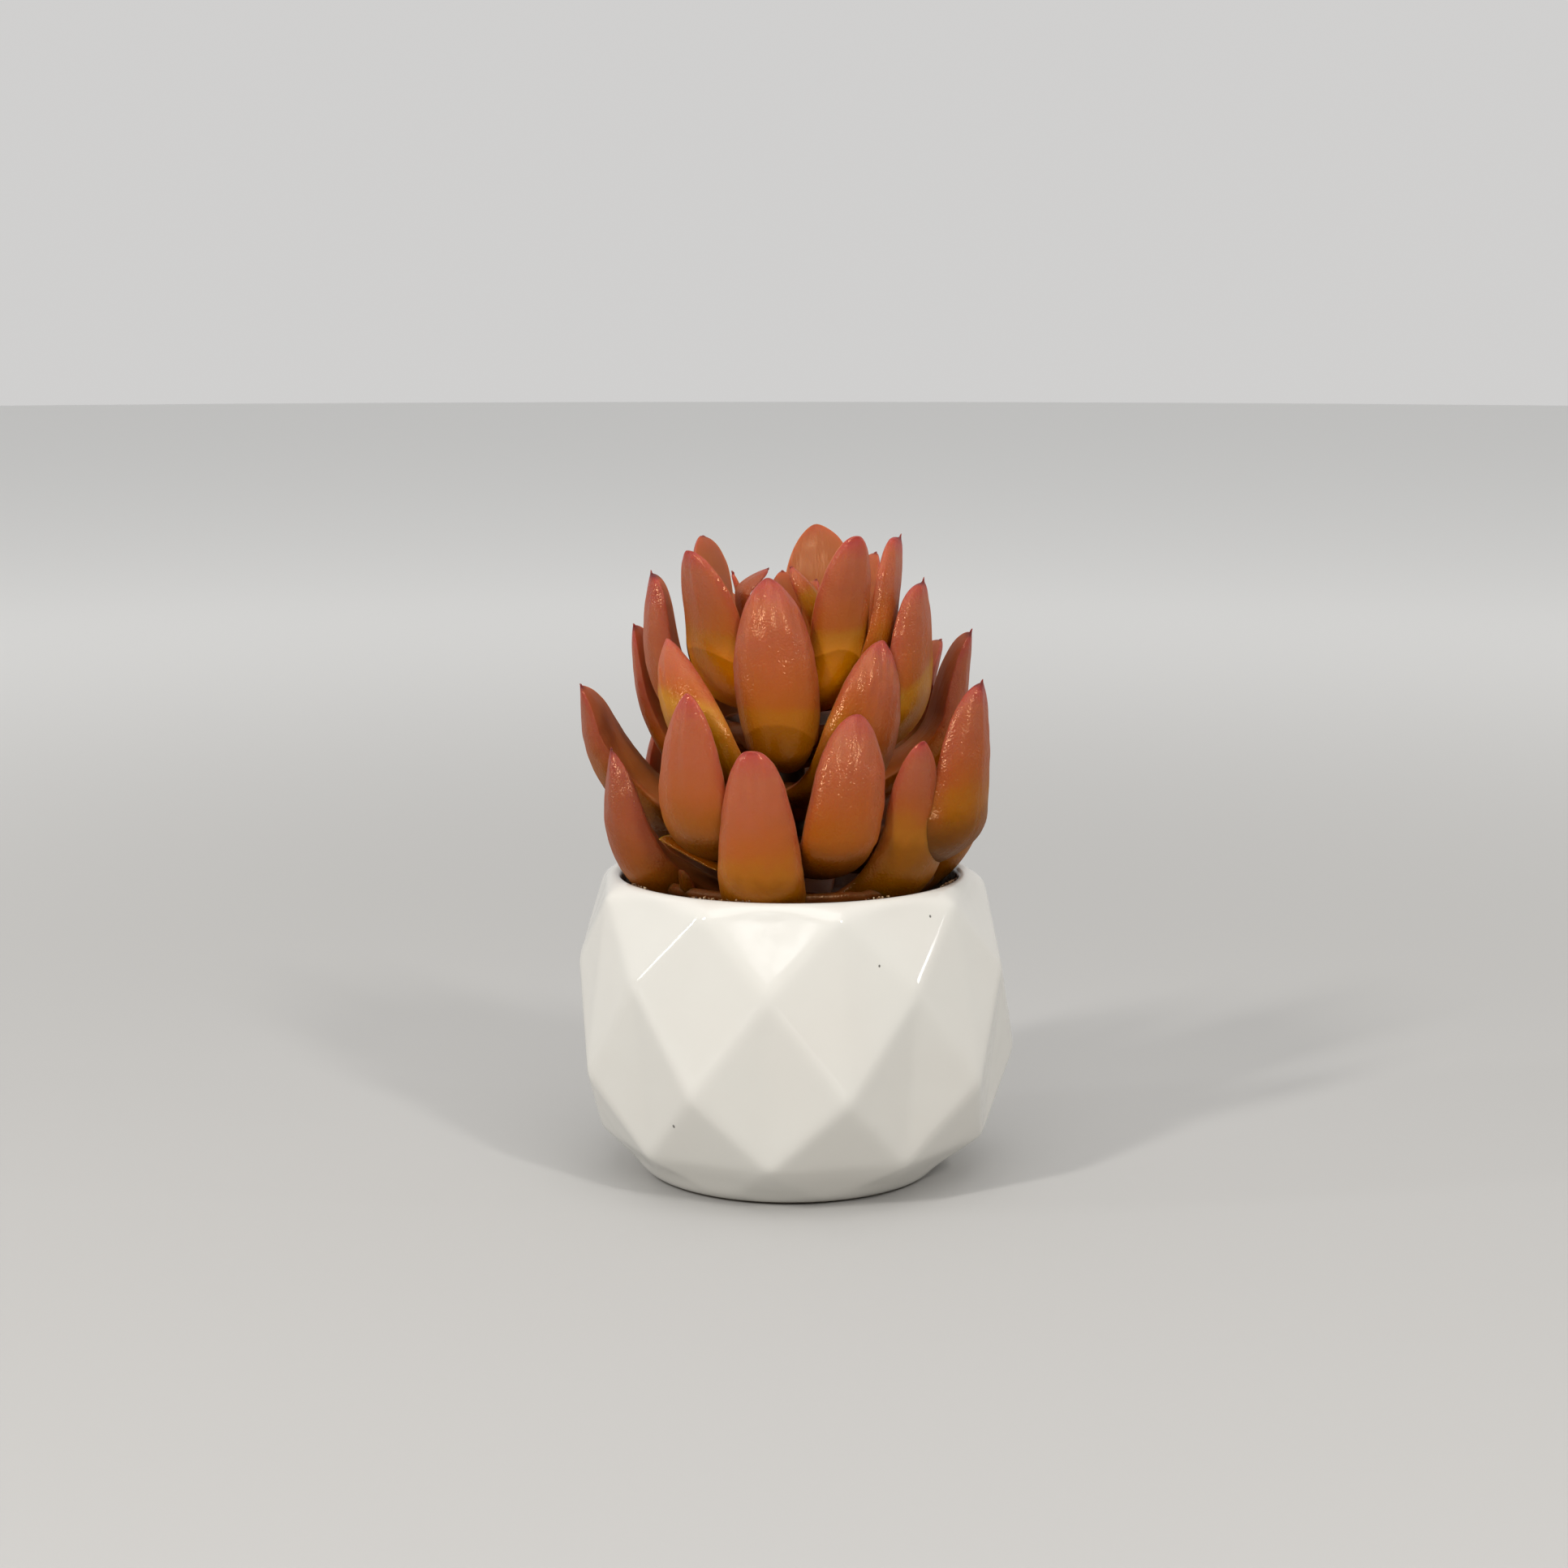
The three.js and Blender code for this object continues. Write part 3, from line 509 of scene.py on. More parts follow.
# %% Leaf table
# a whorl: height of its stem end, radius and rise of the collar, the collar web's tone as painted
#          shade, the width in mm over which the dye fades, and the radius that the leaves start from
# form: azimuth, belly r, z, tip r, z, belly side, tip side, width, thickness, blunt, widest, neck,
#       lift
# finish: share of the length where the red begins, its climb from left to right, distance in mm
#         down to a crisp amber edge (0: none), tone (depth of the dye, and painted shade on leaves
#         in shade), gold, wrinkles, length of the dry point in mm, and the root's tone as a share
#         of the leaf's: below 1 painted shade on the root, above 1 painted glow through the vinyl
WHORLS = [
    dict(z=46, dish=27, rise=8.6, web_shade=0.5, fade=5.5, leaves=[
    ((-11.25, 33.69, 63.61, 35.69, 82.35, 0.36, -0.14, 15.34, 7.7, 0.48, 0.46, 1.02, 0),
     (0.66, 0, 0, 1.05, 0.5, 0.6, 0, 0.95)),
    ((-69.32, 35.5, 68.43, 35.1, 80.04, 0.95, 0.2, 12.88, 10.76, 0.77, 0.59, 0.9, 0),
     (0.57, 0, 0, 0.74, 0.3, 0.4, 0.4, 0.85)),
    ((39.94, 32.64, 68.96, 35.38, 82.5, 4.87, 2.61, 15.96, 8.44, 0.68, 0.42, 0.88, 0),
     (0.71, -0.06, 0, 0.9, 0.6, 0.3, 0, 1.25)),
    ((101, 36.4, 70.2, 35, 84, -0.8, 0, 12.5, 7.5, 0.55, 0.6, 0.9, 0),
     (0.65, 0, 0, 0.9, 0.6, 0.3, 0.5, 1)),
    ((173, 35, 68, 33, 82, 0, 0, 13.5, 8, 0.58, 0.6, 1, 0),
     (0.66, 0.05, 0, 1, 0.4, 0.4, 0.4, 1)),
    ((-133, 35, 68, 33.5, 82, 0, 0, 13.5, 8, 0.55, 0.6, 1, 0),
     (0.62, -0.05, 0, 0.95, 0.4, 0.4, 0.4, 1)),
    ((-46, 26, 52.5, 28, 59, 0, 0.4, 4.6, 2.6, 0.36, 0.6, 1, 0),
     (1.3, 0, 0, 0.5, 0.2, 0.3, 0, 1))]),
    dict(z=56.5, dish=20, rise=6, fade=5.0, leaves=[
    ((-36.5, 33.48, 75.2, 33.82, 91.96, 1.14, 1.64, 14.74, 6.18, 0.7, 0.56, 0.95, 0),
     (0.6, 0, 0, 1, 0.3, 0.5, 0, 0.42)),
    ((21.63, 31.8, 66.81, 26.94, 88.33, -1.58, 2.93, 14.37, 6.09, 0.53, 0.6, 0.56, 0),
     (0.6, 0, 0, 0.95, 0.2, 0.8, 0, 0.3)),
    ((59.6, 38.9, 69, 37.87, 92.44, 1.1, 4.6, 15.0, 10.5, 0.58, 0.57, 1.0, 0),
     (0.72, 0.04, 0, 0.86, 0.5, 0.4, 0.6, 0.5)),
    ((-98.49, 39.11, 82.93, 39.59, 89.26, -1.39, 1.13, 15.56, 11, 0.78, 0.61, 1, 0),
     (0.72, 0, 0, 0.75, 0.3, 0.3, 0.4, 1)),
    ((139, 34, 75, 34, 91, 0, 0, 14, 7.5, 0.58, 0.6, 1.3, 0),
     (0.6, 0, 0, 1, 0.5, 0.4, 0.5, 1)),
    ((-158, 34, 75, 34, 91, 0, 0, 13, 7.5, 0.56, 0.6, 1, 0),
     (0.62, 0.04, 0, 0.95, 0.3, 0.4, 0.4, 1))]),
    dict(z=66.5, dish=15, rise=6.2, fade=3.0, leaves=[
    ((-42.42, 28.57, 86, 23.89, 100.52, 0.46, -9.21, 12.95, 6.26, 0.77, 0.47, 1.75, 1.8),
     (0.76, -0.1, 0, 1.08, 1, 0.7, 0, 1.2)),
    ((36.49, 25.06, 85.39, 23.53, 100.19, 0.73, 4.46, 17.06, 6.8, 0.65, 0.42, 1.26, 1.9),
     (0.59, -0.1, 0, 0.97, 0.6, 0.9, 0, 1)),
    ((98.66, 33.01, 85.69, 33.92, 99.3, 1.66, -2.35, 11.83, 8.63, 0.57, 0.58, 1, 0),
     (0.62, 0, 0, 0.8, 0.2, 0.4, 0.8, 2.2)),
    ((122, 30, 84, 34, 96, 0, 0, 12.5, 7, 0.55, 0.6, 1, 0),
     (0.6, 0, 0, 0.8, 0.2, 0.4, 0.3, 1.2)),
    ((-173, 26.5, 84, 28, 99, 0, 0, 12.2, 6.6, 0.57, 0.6, 1, 0),
     (0.62, 0, 3, 1, 0.4, 0.4, 0.4, 1.2)),
    ((-113.51, 30.96, 88.84, 30.66, 99.99, -0.97, 3.13, 11.03, 6.89, 0.59, 0.6, 1, 0),
     (0.6, 0, 0, 0.9, 0.2, 0.4, 0.4, 1.2))]),
    dict(z=76, dish=13, rise=6.6, fade=2.0, leaves=[
    ((-0.11, 23.58, 81.11, 18.65, 111.76, -1.24, -3.89, 14.84, 10.09, 0.63, 0.62, 0.35, 0),
     (0.55, -0.02, 2.5, 1, 0.5, 1, 0, 0.68)),
    ((66.52, 26.29, 91.65, 25.39, 109.45, 1.29, 3.43, 14.99, 7.68, 0.49, 0.62, 0.9, 0),
     (0.69, 0.12, 0, 0.92, 0.9, 0.5, 1, 2.1)),
    ((-88.4, 26.51, 99.15, 25.9, 110.38, -1.75, -1.02, 12.48, 8.48, 0.44, 0.6, 1, 0),
     (0.47, 0, 0, 0.88, 0.2, 0.4, 0.7, 1.2)),
    ((117, 24, 93, 26.5, 103, 0, 0, 12, 6.5, 0.55, 0.6, 1, 0),
     (0.55, 0, 3, 1, 0.5, 0.4, 0.4, 1.3)),
    ((-146, 22.5, 93, 24.5, 106, 0, 0, 11.6, 6.2, 0.57, 0.6, 1, 0),
     (0.55, 0, 2.5, 0.95, 0.5, 0.4, 0.4, 1.3))]),
    dict(z=85.5, dish=10.2, rise=3.8, fade=1.8, leaves=[
    ((-51.75, 19.86, 100.91, 23.11, 114.94, -0.82, -2.05, 15.79, 6.19, 0.62, 0.52, 1.34, 0),
     (0.64, -0.03, 3, 0.91, 0.5, 0.5, 0, 4.2)),
    ((20.79, 17.48, 96.7, 22.55, 117.9, 4.06, 4.8, 10.6, 6.5, 0.58, 0.57, 0.8, 0),
     (0.6, 0.02, 3.6, 1.0, 0.7, 0.6, 0, 3.0)),
    ((74.51, 20.56, 104.28, 20.21, 116.83, -2.5, 3.65, 10.68, 5.15, 0.37, 0.6, 1, 0),
     (0.59, 0, 0, 0.98, 0.3, 0.5, 1, 1.5)),
    ((-128.25, 19.59, 100.24, 22.3, 115.82, 2.27, -1.76, 11.64, 4.76, 0.47, 0.61, 1, 0),
     (0.58, 0, 0, 0.88, 0.2, 0.8, 0.2, 1.5)),
    ((167.42, 13.2, 101.89, 15.99, 117.9, -4.9, -1.56, 14.41, 5.46, 0.68, 0.6, 1, 0),
     (0.65, 0, 0, 0.86, 0.6, 0.4, 0, 1.1)),
    ((127, 17, 98, 20, 113, -1, -0.5, 10.5, 4.5, 0.55, 0.6, 1, 0),
     (0.5, 0, 0, 0.9, 0.3, 0.4, 0.3, 1.5))]),
    dict(z=93.5, dish=4.6, rise=1.5, fade=2.0, root=1.5, leaves=[
    ((29, 9.3, 103.7, 4.5, 112.2, 1.7, -2, 4.6, 3.2, 0.55, 0.6, 0.8, 0),
     (0.78, 0, 0, 0.95, 0.8, 0.3, 0.2, 1.5)),
    ((-150, 4, 101, 4, 110.5, 0, -0.5, 7, 3.5, 0.55, 0.6, 0.8, 0),
     (0.5, 0, 0, 0.9, 0.3, 0.3, 0.2, 1.5)),
    ((-78.5, 9.9, 107, 4.1, 111.6, -0.2, -0.5, 7.7, 3.1, 0.53, 0.6, 0.8, 0),
     (0.5, 0, 0, 0.76, 0.2, 0.3, 0.3, 1.5)),
    ((120, 6, 101, 6, 109, 0, 0, 7, 3.5, 0.55, 0.6, 0.8, 0),
     (0.5, 0, 0, 0.9, 0.3, 0.3, 0.2, 1.5)),
    ((-95, 9.6, 104, 10.6, 110.3, 0, 0.2, 3.0, 2.0, 0.6, 0.6, 0.8, 0),
     (0.5, 0, 0, 1.05, 0, 0.6, 0.5, 1.5))]),
]
STATIONS = 84
SIDES_OUT = 44
SIDES_IN = 26
ROOT_R = 4.0
OUTER = 0.66  # share of the thickness that lies outside the leaf's two edges
CURL_FROM = 0.78  # share of the length where the tip begins to bend inwards
POINT_R = 0.3
POINT_RINGS = 6

# %% Line, section and swelling of a leaf
def bezier(points, t):
    p = np.array(points, float)
    t = t[:, None]
    return (1 - t) ** 3 * p[0] + 3 * (1 - t) ** 2 * t * p[1] + 3 * (1 - t) * t * t * p[2] + t ** 3 * p[3]


def outer_line(form, whorl):
    """The leaf's outer side from root to tip, as radius, side and height."""
    _, belly_r, belly_z, tip_r, tip_z, belly_side, tip_side = form[:7]
    root_r, root_z = whorl.get("root", ROOT_R), whorl["z"] + form[12]
    rise, up = belly_z - root_z, tip_z - belly_z
    lean = 1.6 * (tip_r - belly_r) / up
    slant = (tip_side - belly_side) / up
    drop = 0.55 * rise + 2
    belly = (belly_r, belly_side, belly_z)
    lower = [(root_r, 0, root_z), (root_r + 0.55 * (belly_r - root_r), 0, root_z - 0.5),
             (belly_r, belly_side - 0.9 * slant * min(drop, 0.8 * rise), belly_z - drop), belly]
    upper = [belly, (belly_r, belly_side + 0.33 * slant * up, belly_z + 0.36 * up),
             (tip_r - 0.3 * lean * up, tip_side - 0.3 * slant * up, tip_z - 0.3 * up),
             (tip_r, tip_side, tip_z)]
    t = np.linspace(0, 1, 61)
    return np.vstack([bezier(lower, t), bezier(upper, t)[1:]])


def swell(s, neck, peak, power, blunt):
    """Share of the full size along a leaf: a neck, full size at the peak, a round end."""
    rising = neck + (1 - neck) * (s / peak) ** 2 * (3 - 2 * s / peak)
    falling = np.maximum(0, 1 - (np.maximum(s - peak, 0) / (1 - peak)) ** power) ** blunt
    return np.where(s < peak, rising, falling)


def frame_along(line, s):
    """Points at the shares s of a line, with the directions ahead, inward and across."""
    run = np.r_[0, np.cumsum(np.linalg.norm(np.diff(line, axis=0), axis=1))]
    near = 0.02

    def at(share):
        return np.stack([np.interp(share * run[-1], run, line[:, k]) for k in range(3)], 1)

    ahead = at(s + near) - at(s - near)
    ahead /= np.linalg.norm(ahead, axis=1)[:, None]
    inward = np.cross(ahead, (0, 1, 0))
    inward /= np.linalg.norm(inward, axis=1)[:, None]
    return at(s), ahead, inward, np.cross(inward, ahead), run[-1]


def grain(x, y, z, seed):
    """Smooth random numbers about 0 for arrays of coordinates."""
    cells = zip(x.ravel(), y.ravel(), z.ravel())
    return np.array([noise.noise(Vector((a, b, c + seed))) for a, b, c in cells]).reshape(x.shape)


def turned_to(azimuth, local):
    """Points given as radius, side and height, turned to their azimuth."""
    sn, cs = math.sin(math.radians(azimuth)), math.cos(math.radians(azimuth))
    return np.stack([local[..., 0] * sn + local[..., 1] * cs,
                     -local[..., 0] * cs + local[..., 1] * sn, local[..., 2]], -1)


# %% One leaf
def leaf_surface(form, finish, whorl, seed):
    """Points, faces and the stored values of one leaf."""
    width, thick, blunt, peak, neck = form[7:12]
    red_from, climb, arc, dye_and_shade, gold, wrinkles, point, root = finish
    line = outer_line(form, whorl)
    s = 1 - (1 - np.arange(STATIONS) / STATIONS) ** 1.5
    at, ahead, inward, across, length = frame_along(line, s)
    curl = (0.08 if point else 0.26) * thick
    at = at + (curl * np.maximum(0, (s - CURL_FROM) / (1 - CURL_FROM)) ** 2)[:, None] * inward
    half = width / 2 * swell(s, neck, peak, 2.3, blunt)
    deep = thick * swell(s, 0.65, 0.52, 2.2, blunt)
    if point:
        half, deep = np.maximum(half, POINT_R), np.maximum(deep, 1.6 * POINT_R)
        tail = np.linspace(0.25, 0.98, POINT_RINGS)
        s = np.r_[s, 1 + tail * point / length]
        at = np.vstack([at, line[-1] + curl * inward[-1] + (tail * point)[:, None] * ahead[-1]])
        half = np.r_[half, POINT_R * (1 - tail) ** 0.7 + 0.05]
        deep = np.r_[deep, 1.6 * POINT_R * (1 - tail) ** 0.7 + 0.08]
        inward, across = (np.vstack([v, np.repeat(v[-1:], POINT_RINGS, 0)]) for v in (inward, across))

    # the section: a round outer side, and an inner side that flattens towards the free part
    a = np.arange(SIDES_OUT) * np.pi / SIDES_OUT
    b = np.arange(SIDES_IN) * np.pi / SIDES_IN
    x = np.r_[-np.cos(a), np.cos(b)]
    y_round = np.r_[OUTER * (1 - np.sin(a) ** 0.9), OUTER + 0.31 * np.sin(b) ** 0.9]
    y_crisp = np.r_[OUTER * (1 - np.sin(a) ** 0.95), OUTER + 0.16 * np.sin(b) ** 2.2]
    crisp = smoothstep(s, 0.25, 0.6)[:, None]
    y = y_round * (1 - crisp) + y_crisp * crisp
    X = half[:, None] * x
    Y = deep[:, None] * y
    along = (s * length)[:, None] + 0 * X

    # small uneven swellings, and wrinkles along the leaf that gather towards the tip
    free = (smoothstep(s, 0.1, 0.35) * (1 - smoothstep(s, 0.97, 1.0)))[:, None]
    gather = (smoothstep(s, 0.55, 0.9) * (1 - 0.7 * smoothstep(s, 0.975, 1.0)))[:, None]
    lump = grain(X * 0.16, Y * 0.16, along * 0.09, seed * 7.3)
    dent = grain(X * 0.45, Y * 0.45, along * 0.35, seed * 2.9)
    furrow = grain(X * 0.62, Y * 0.4, along * 0.09, seed * 3.1)
    size = 1 + (0.035 * lump + (0.012 + 0.022 * gather) * dent) * free
    X = X * size
    Y = deep[:, None] * 0.5 + (Y - deep[:, None] * 0.5) * size
    outer_side = np.r_[np.sin(a), np.zeros(SIDES_IN)]
    Y = Y + (0.55 * wrinkles * furrow * gather - 0.05 * wrinkles * gather) * outer_side
    local = at[:, None, :] + across[:, None, :] * X[..., None] + inward[:, None, :] * Y[..., None]
    points = turned_to(form[0], local)

    rings, sides = X.shape
    points = np.vstack([points.reshape(-1, 3), points[0].mean(0), points[-1].mean(0)])
    faces = closed_faces(rings, sides)

    # what the skin's material reads at each point
    begins = red_from + climb * x[None, :] + 0 * X
    s_grid = s[:, None] + 0 * X
    above = (s_grid - begins) * length
    edge = np.minimum(np.abs(x + 1), np.abs(x - 1))
    within = np.r_[np.zeros(SIDES_OUT), np.ones(SIDES_IN)]
    within[SIDES_OUT] = 0.5
    middle = (s_grid - red_from) * length
    # the root part of the leaf, where its tone is scaled by the root's share: painted shade below 1,
    # painted glow above 1
    lower = 1 - smoothstep(s_grid / begins, 0.5, 1.0)
    values = {
        "climb": np.where(s_grid < begins, 0.5 * s_grid / begins,
                          0.5 + 0.5 * (s_grid - begins) / (1 - begins)),
        "blush": above / whorl["fade"],
        "amber": (middle + arc + 3.0 * x ** 2 + 1.2 * x) / 0.5 if arc else (above + 4.0) / 4.0,
        "rim": np.exp(-(edge / 0.08) ** 2)[None, :] * smoothstep(s, 0.4, 0.7)[:, None],
        "inside": within[None, :] + 0 * X,
        "point": smoothstep(s, 0.982, 1.0)[:, None] * (0.9 if point else 0.25) + 0 * X,
        "dye_and_shade": dye_and_shade * (1 + (root - 1) * lower),
        "gold": gold + 0 * X,
    }
    stored_values = {name: np.r_[v.reshape(-1), v[0].mean(), v[-1].mean()] for name, v in values.items()}
    space = np.stack([X, Y, along + seed * 90], -1).reshape(-1, 3)
    stored_values["leaf_space"] = np.vstack([space, space[:sides].mean(0), space[-sides:].mean(0)])
    return points, faces, stored_values


# %% [markdown]
# The leaves of a whorl were moulded together: their roots run into a shallow dished collar
# that the stem passes through. The collar shows as the olive web between two leaves. It is one
# closed ring swept round the stem, a little wavy, as thin soft vinyl is.

# %% Collar
COLLAR_SIDES = 120
HOLE = 3.2


def even_values(points, chosen, shift=0):
    """The stored values of a piece that has one colour and no dye."""
    values = {"climb": 0, "blush": -4, "amber": -2, "rim": 0, "inside": 0, "point": 0} | chosen
    stored_values = {name: np.full(len(points), float(value)) for name, value in values.items()}
    return stored_values | {"leaf_space": np.asarray(points) + shift}


def collar_surface(whorl, seed):
    z, dish, rise = whorl["z"], whorl["dish"], whorl["rise"]
    outline = densify([(HOLE, z + 1.6), (HOLE, z - 0.2), (dish * 0.55, z - 0.4), (dish, z + rise),
                       (dish - 0.6, z + rise + 2), (dish * 0.55, z + 4.2), (HOLE, z + 3.6),
                       (HOLE, z + 1.6)], 0.7, 2)[:-1]
    turn = np.arange(COLLAR_SIDES) * 2 * np.pi / COLLAR_SIDES
    wave = grain(np.cos(turn) * 1.6, np.sin(turn) * 1.6, 0 * turn, seed * 5.0)
    ripple = grain(np.cos(turn) * 9, np.sin(turn) * 9, 0 * turn, seed * 5.0 + 60)
    points = []
    for j in range(COLLAR_SIDES):
        for r, h in outline:
            reach = (r - HOLE) / dish
            points.append(around(j * 360 / COLLAR_SIDES, r + 0.7 * wave[j] * reach - 0.3 * reach,
                                 h + (0.6 * wave[j] + 0.35 * ripple[j]) * reach))
    n = len(outline)
    ends = [(j * n, (j + 1) % COLLAR_SIDES * n) for j in range(COLLAR_SIDES)]
    faces = [(a + i, b + i, b + (i + 1) % n, a + (i + 1) % n) for a, b in ends for i in range(n)]
    # the web lies deep between the leaves, so its tone is lowered as painted shade; its inside share also
    # tints it with the inner sides' painted glow
    values = even_values(points, {"climb": 0.2, "inside": 0.6, "dye_and_shade": whorl.get("web_shade", 0.75), "gold": 0.4})
    return np.array(points), faces, values


# %% [markdown]
# Where the mould of the second whorl closed, a thin ledge of vinyl was left under its left front
# leaf. Its rim catches the light as a narrow curved line, so it is a bent strip of its own shape.

# %% Ledge left by the mould
LEDGE = [(-23.4, -18.6, 64.7), (-22.6, -19.2, 64.1), (-21.4, -19.9, 63.4), (-19.9, -20.6, 62.7),
         (-18.2, -21.4, 61.8), (-16.4, -22.2, 61.1), (-14.7, -23.0, 60.4), (-13.0, -23.7, 60.0)]
LEDGE_STEPS = 43


def ledge_surface(seed):
    """A thin strip behind the rim that LEDGE gives from left to right."""
    at = np.linspace(0, len(LEDGE) - 1, LEDGE_STEPS)
    rim = np.stack([np.interp(at, range(len(LEDGE)), [p[k] for p in LEDGE]) for k in range(3)], 1)
    away = rim * (1, 1, 0) / np.linalg.norm(rim[:, :2], axis=1)[:, None]
    section = [(-0.8, 0.1), (-0.65, 0.3), (-0.8, 0.5), (-2.6, 1.3), (-4.8, 1.8), (-4.8, 1.1), (-2.6, 0.7)]
    taper = np.sin(np.linspace(0.12, np.pi - 0.12, LEDGE_STEPS)) ** 0.5
    rings = [rim + away * (out * taper)[:, None] + np.outer(taper * up, (0, 0, 1)) for out, up in section]
    points = np.stack(rings, 1).reshape(-1, 3)
    n = len(section)
    faces = [face[::-1] for face in ring_faces(LEDGE_STEPS, n)]
    faces += [tuple(range(n)), tuple((LEDGE_STEPS - 1) * n + k for k in reversed(range(n)))]
    return points, faces, even_values(points, {"climb": 0.34, "dye_and_shade": 0.7, "gold": 0.5}, seed * 90)


# %% [markdown]
# ## Leaf skin
# The leaves are soft moulded vinyl, cast in golden brown and sprayed with a thin red-brown dye
# from above. That gives the eye a fleshy, slightly translucent body whose colour runs from dark
# amber at the root through orange to a rosy tip, with a satin sheen that breaks into tiny
# sparkles where the surface is pebbled. The dye stops at an uneven line, so a noise moves that
# line by a millimetre or two. Below it lies a paler band, painted light that shines through the
# vinyl, and on the upper leaves that band ends at a crisp curved edge, below which the thick root
# is painted in shade, where the light in it dies out. Three colour ramps hold the three states,
# and the stored distances blend them.

# %% Leaf colours
leaf_mat, nt, flesh, where = new_material("dyed_vinyl_leaf")
VALUES = ("climb", "blush", "amber", "rim", "inside", "point", "dye_and_shade", "gold")
stored = {name: add_node(nt, "Attribute", out="Fac", attribute_name=name) for name in VALUES}
mottle = add_node(nt, "TexNoise", {"Vector": where, "Scale": 170.0, "Detail": 3.0})
clouded = add_node(nt, "Math", {0: mottle, 1: 0.16, 2: stored["climb"]}, operation="MULTIPLY_ADD")
level = add_node(nt, "Math", {0: clouded, 1: -0.08}, operation="ADD")
SHADES = {
    "amber": [(0.0, "#481E02"), (0.2, "#622C00"), (0.36, "#7C3A00"), (0.5, "#8C4402")],
    "honey": [(0.0, "#4A2802"), (0.2, "#683C00"), (0.36, "#865200"), (0.5, "#9C6206")],
    "dyed": [(0.48, "#A05416"), (0.6, "#A45424"), (0.74, "#A65636"), (0.88, "#A85A3E"),
             (0.97, "#A64C42"), (1.0, "#903C3A")],
}
ramps = {name: add_node(nt, "ValToRGB", {"Fac": level}, stops=stops)
         for name, stops in SHADES.items()}

# the two uneven lines: where the crisp amber edge lies, below the painted glow of the pale band
# and above the painted shade of the root, and where the dye stops
ragged = add_node(nt, "TexNoise", {"Vector": where, "Scale": 210.0, "Detail": 2.0})
above = {}
for name, shift, begin in (("amber", 1.6, 0.3), ("blush", 1.4, 0.1)):
    line = add_node(nt, "Math", {0: ragged, 1: shift, 2: stored[name]}, operation="MULTIPLY_ADD")
    above[name] = add_node(nt, "MapRange", {"Value": line, "From Min": begin, "From Max": 1.3},
                           interpolation_type="SMOOTHSTEP")
inner_glow_and_rim = {name: add_node(nt, "Math", {0: stored[name], 1: share}, operation="MULTIPLY")
           for name, share in (("inside", 0.6), ("rim", 0.25))}

# from the root's brown to the dye, then the inner side in a brighter orange as painted glow of
# light through the leaf, the edges and the dry point
skin, pale_glow = (add_node(nt, "Mix", {"Factor": stored["gold"], "A": brown, "B": golden}, data_type="RGBA")
              for brown, golden in ((ramps["amber"], ramps["honey"]),
                                    (linear("#964408"), linear("#AC721A"))))
for amount, shade in ((above["amber"], pale_glow), (above["blush"], ramps["dyed"]),
                      (inner_glow_and_rim["inside"], linear("#A85C2E")), (inner_glow_and_rim["rim"], linear("#A2403E")),
                      (stored["point"], linear("#54202A"))):
    skin = add_node(nt, "Mix", {"Factor": amount, "A": skin, "B": shade}, data_type="RGBA")
# the tone scales the whole skin: the depth of the dye, painted shade on leaves and roots in shade, and
# painted glow in roots that light shines through
skin_with_shade = add_node(nt, "VectorMath", {0: skin, "Scale": stored["dye_and_shade"]}, operation="SCALE")
feed(nt, flesh, {"Base Color": skin_with_shade, "Subsurface Weight": 0.55, "Subsurface Scale": 4.5 * MM,
                 "Subsurface Radius": (1.0, 0.32, 0.08)})

# %% Sheen, wrinkles and pebbles of the leaf skin
worn = add_node(nt, "TexNoise", {"Vector": where, "Scale": 240.0, "Detail": 3.0})
satin = add_node(nt, "MapRange", {"Value": worn, "From Min": 0.35, "From Max": 0.68,
                                  "To Min": 0.09, "To Max": 0.24})
grazing = add_node(nt, "LayerWeight", {"Blend": 0.5}, out="Facing")
steep = add_node(nt, "Math", {0: grazing, 1: 2.0}, operation="POWER")
softer = add_node(nt, "Math", {0: steep, 1: 0.6, 2: satin}, operation="MULTIPLY_ADD")
dulled = add_node(nt, "Math", {0: stored["inside"], 1: 0.22, 2: softer}, operation="MULTIPLY_ADD")

leaf_space = add_node(nt, "Attribute", out="Vector", attribute_name="leaf_space")
stretch = add_node(nt, "Mapping", {"Vector": leaf_space, "Scale": (0.9, 0.7, 0.12)})
wrinkle = add_node(nt, "TexNoise", {"Vector": stretch, "Scale": 1.0, "Detail": 2.0})
PEBBLE = 0.4 * MM
pebble = add_node(nt, "TexNoise", {"Vector": where, "Scale": 1 / PEBBLE, "Detail": 1.0})
wrinkled = add_node(nt, "Bump", {"Strength": 0.5, "Distance": 0.2 * MM, "Height": wrinkle})
smoother = add_node(nt, "Math", {0: stored["inside"], 1: -0.65, 2: 0.9}, operation="MULTIPLY_ADD")
pebbled = add_node(nt, "Bump", {"Strength": smoother, "Distance": 0.1 * MM, "Height": pebble,
                                "Normal": wrinkled})
feed(nt, flesh, {"IOR": 1.5, "Specular IOR Level": 0.38, "Specular Tint": (1.0, 0.62, 0.34, 1.0),
                 "Roughness": dulled, "Normal": pebbled})
print("leaf skin:", len(nt.nodes), "nodes")

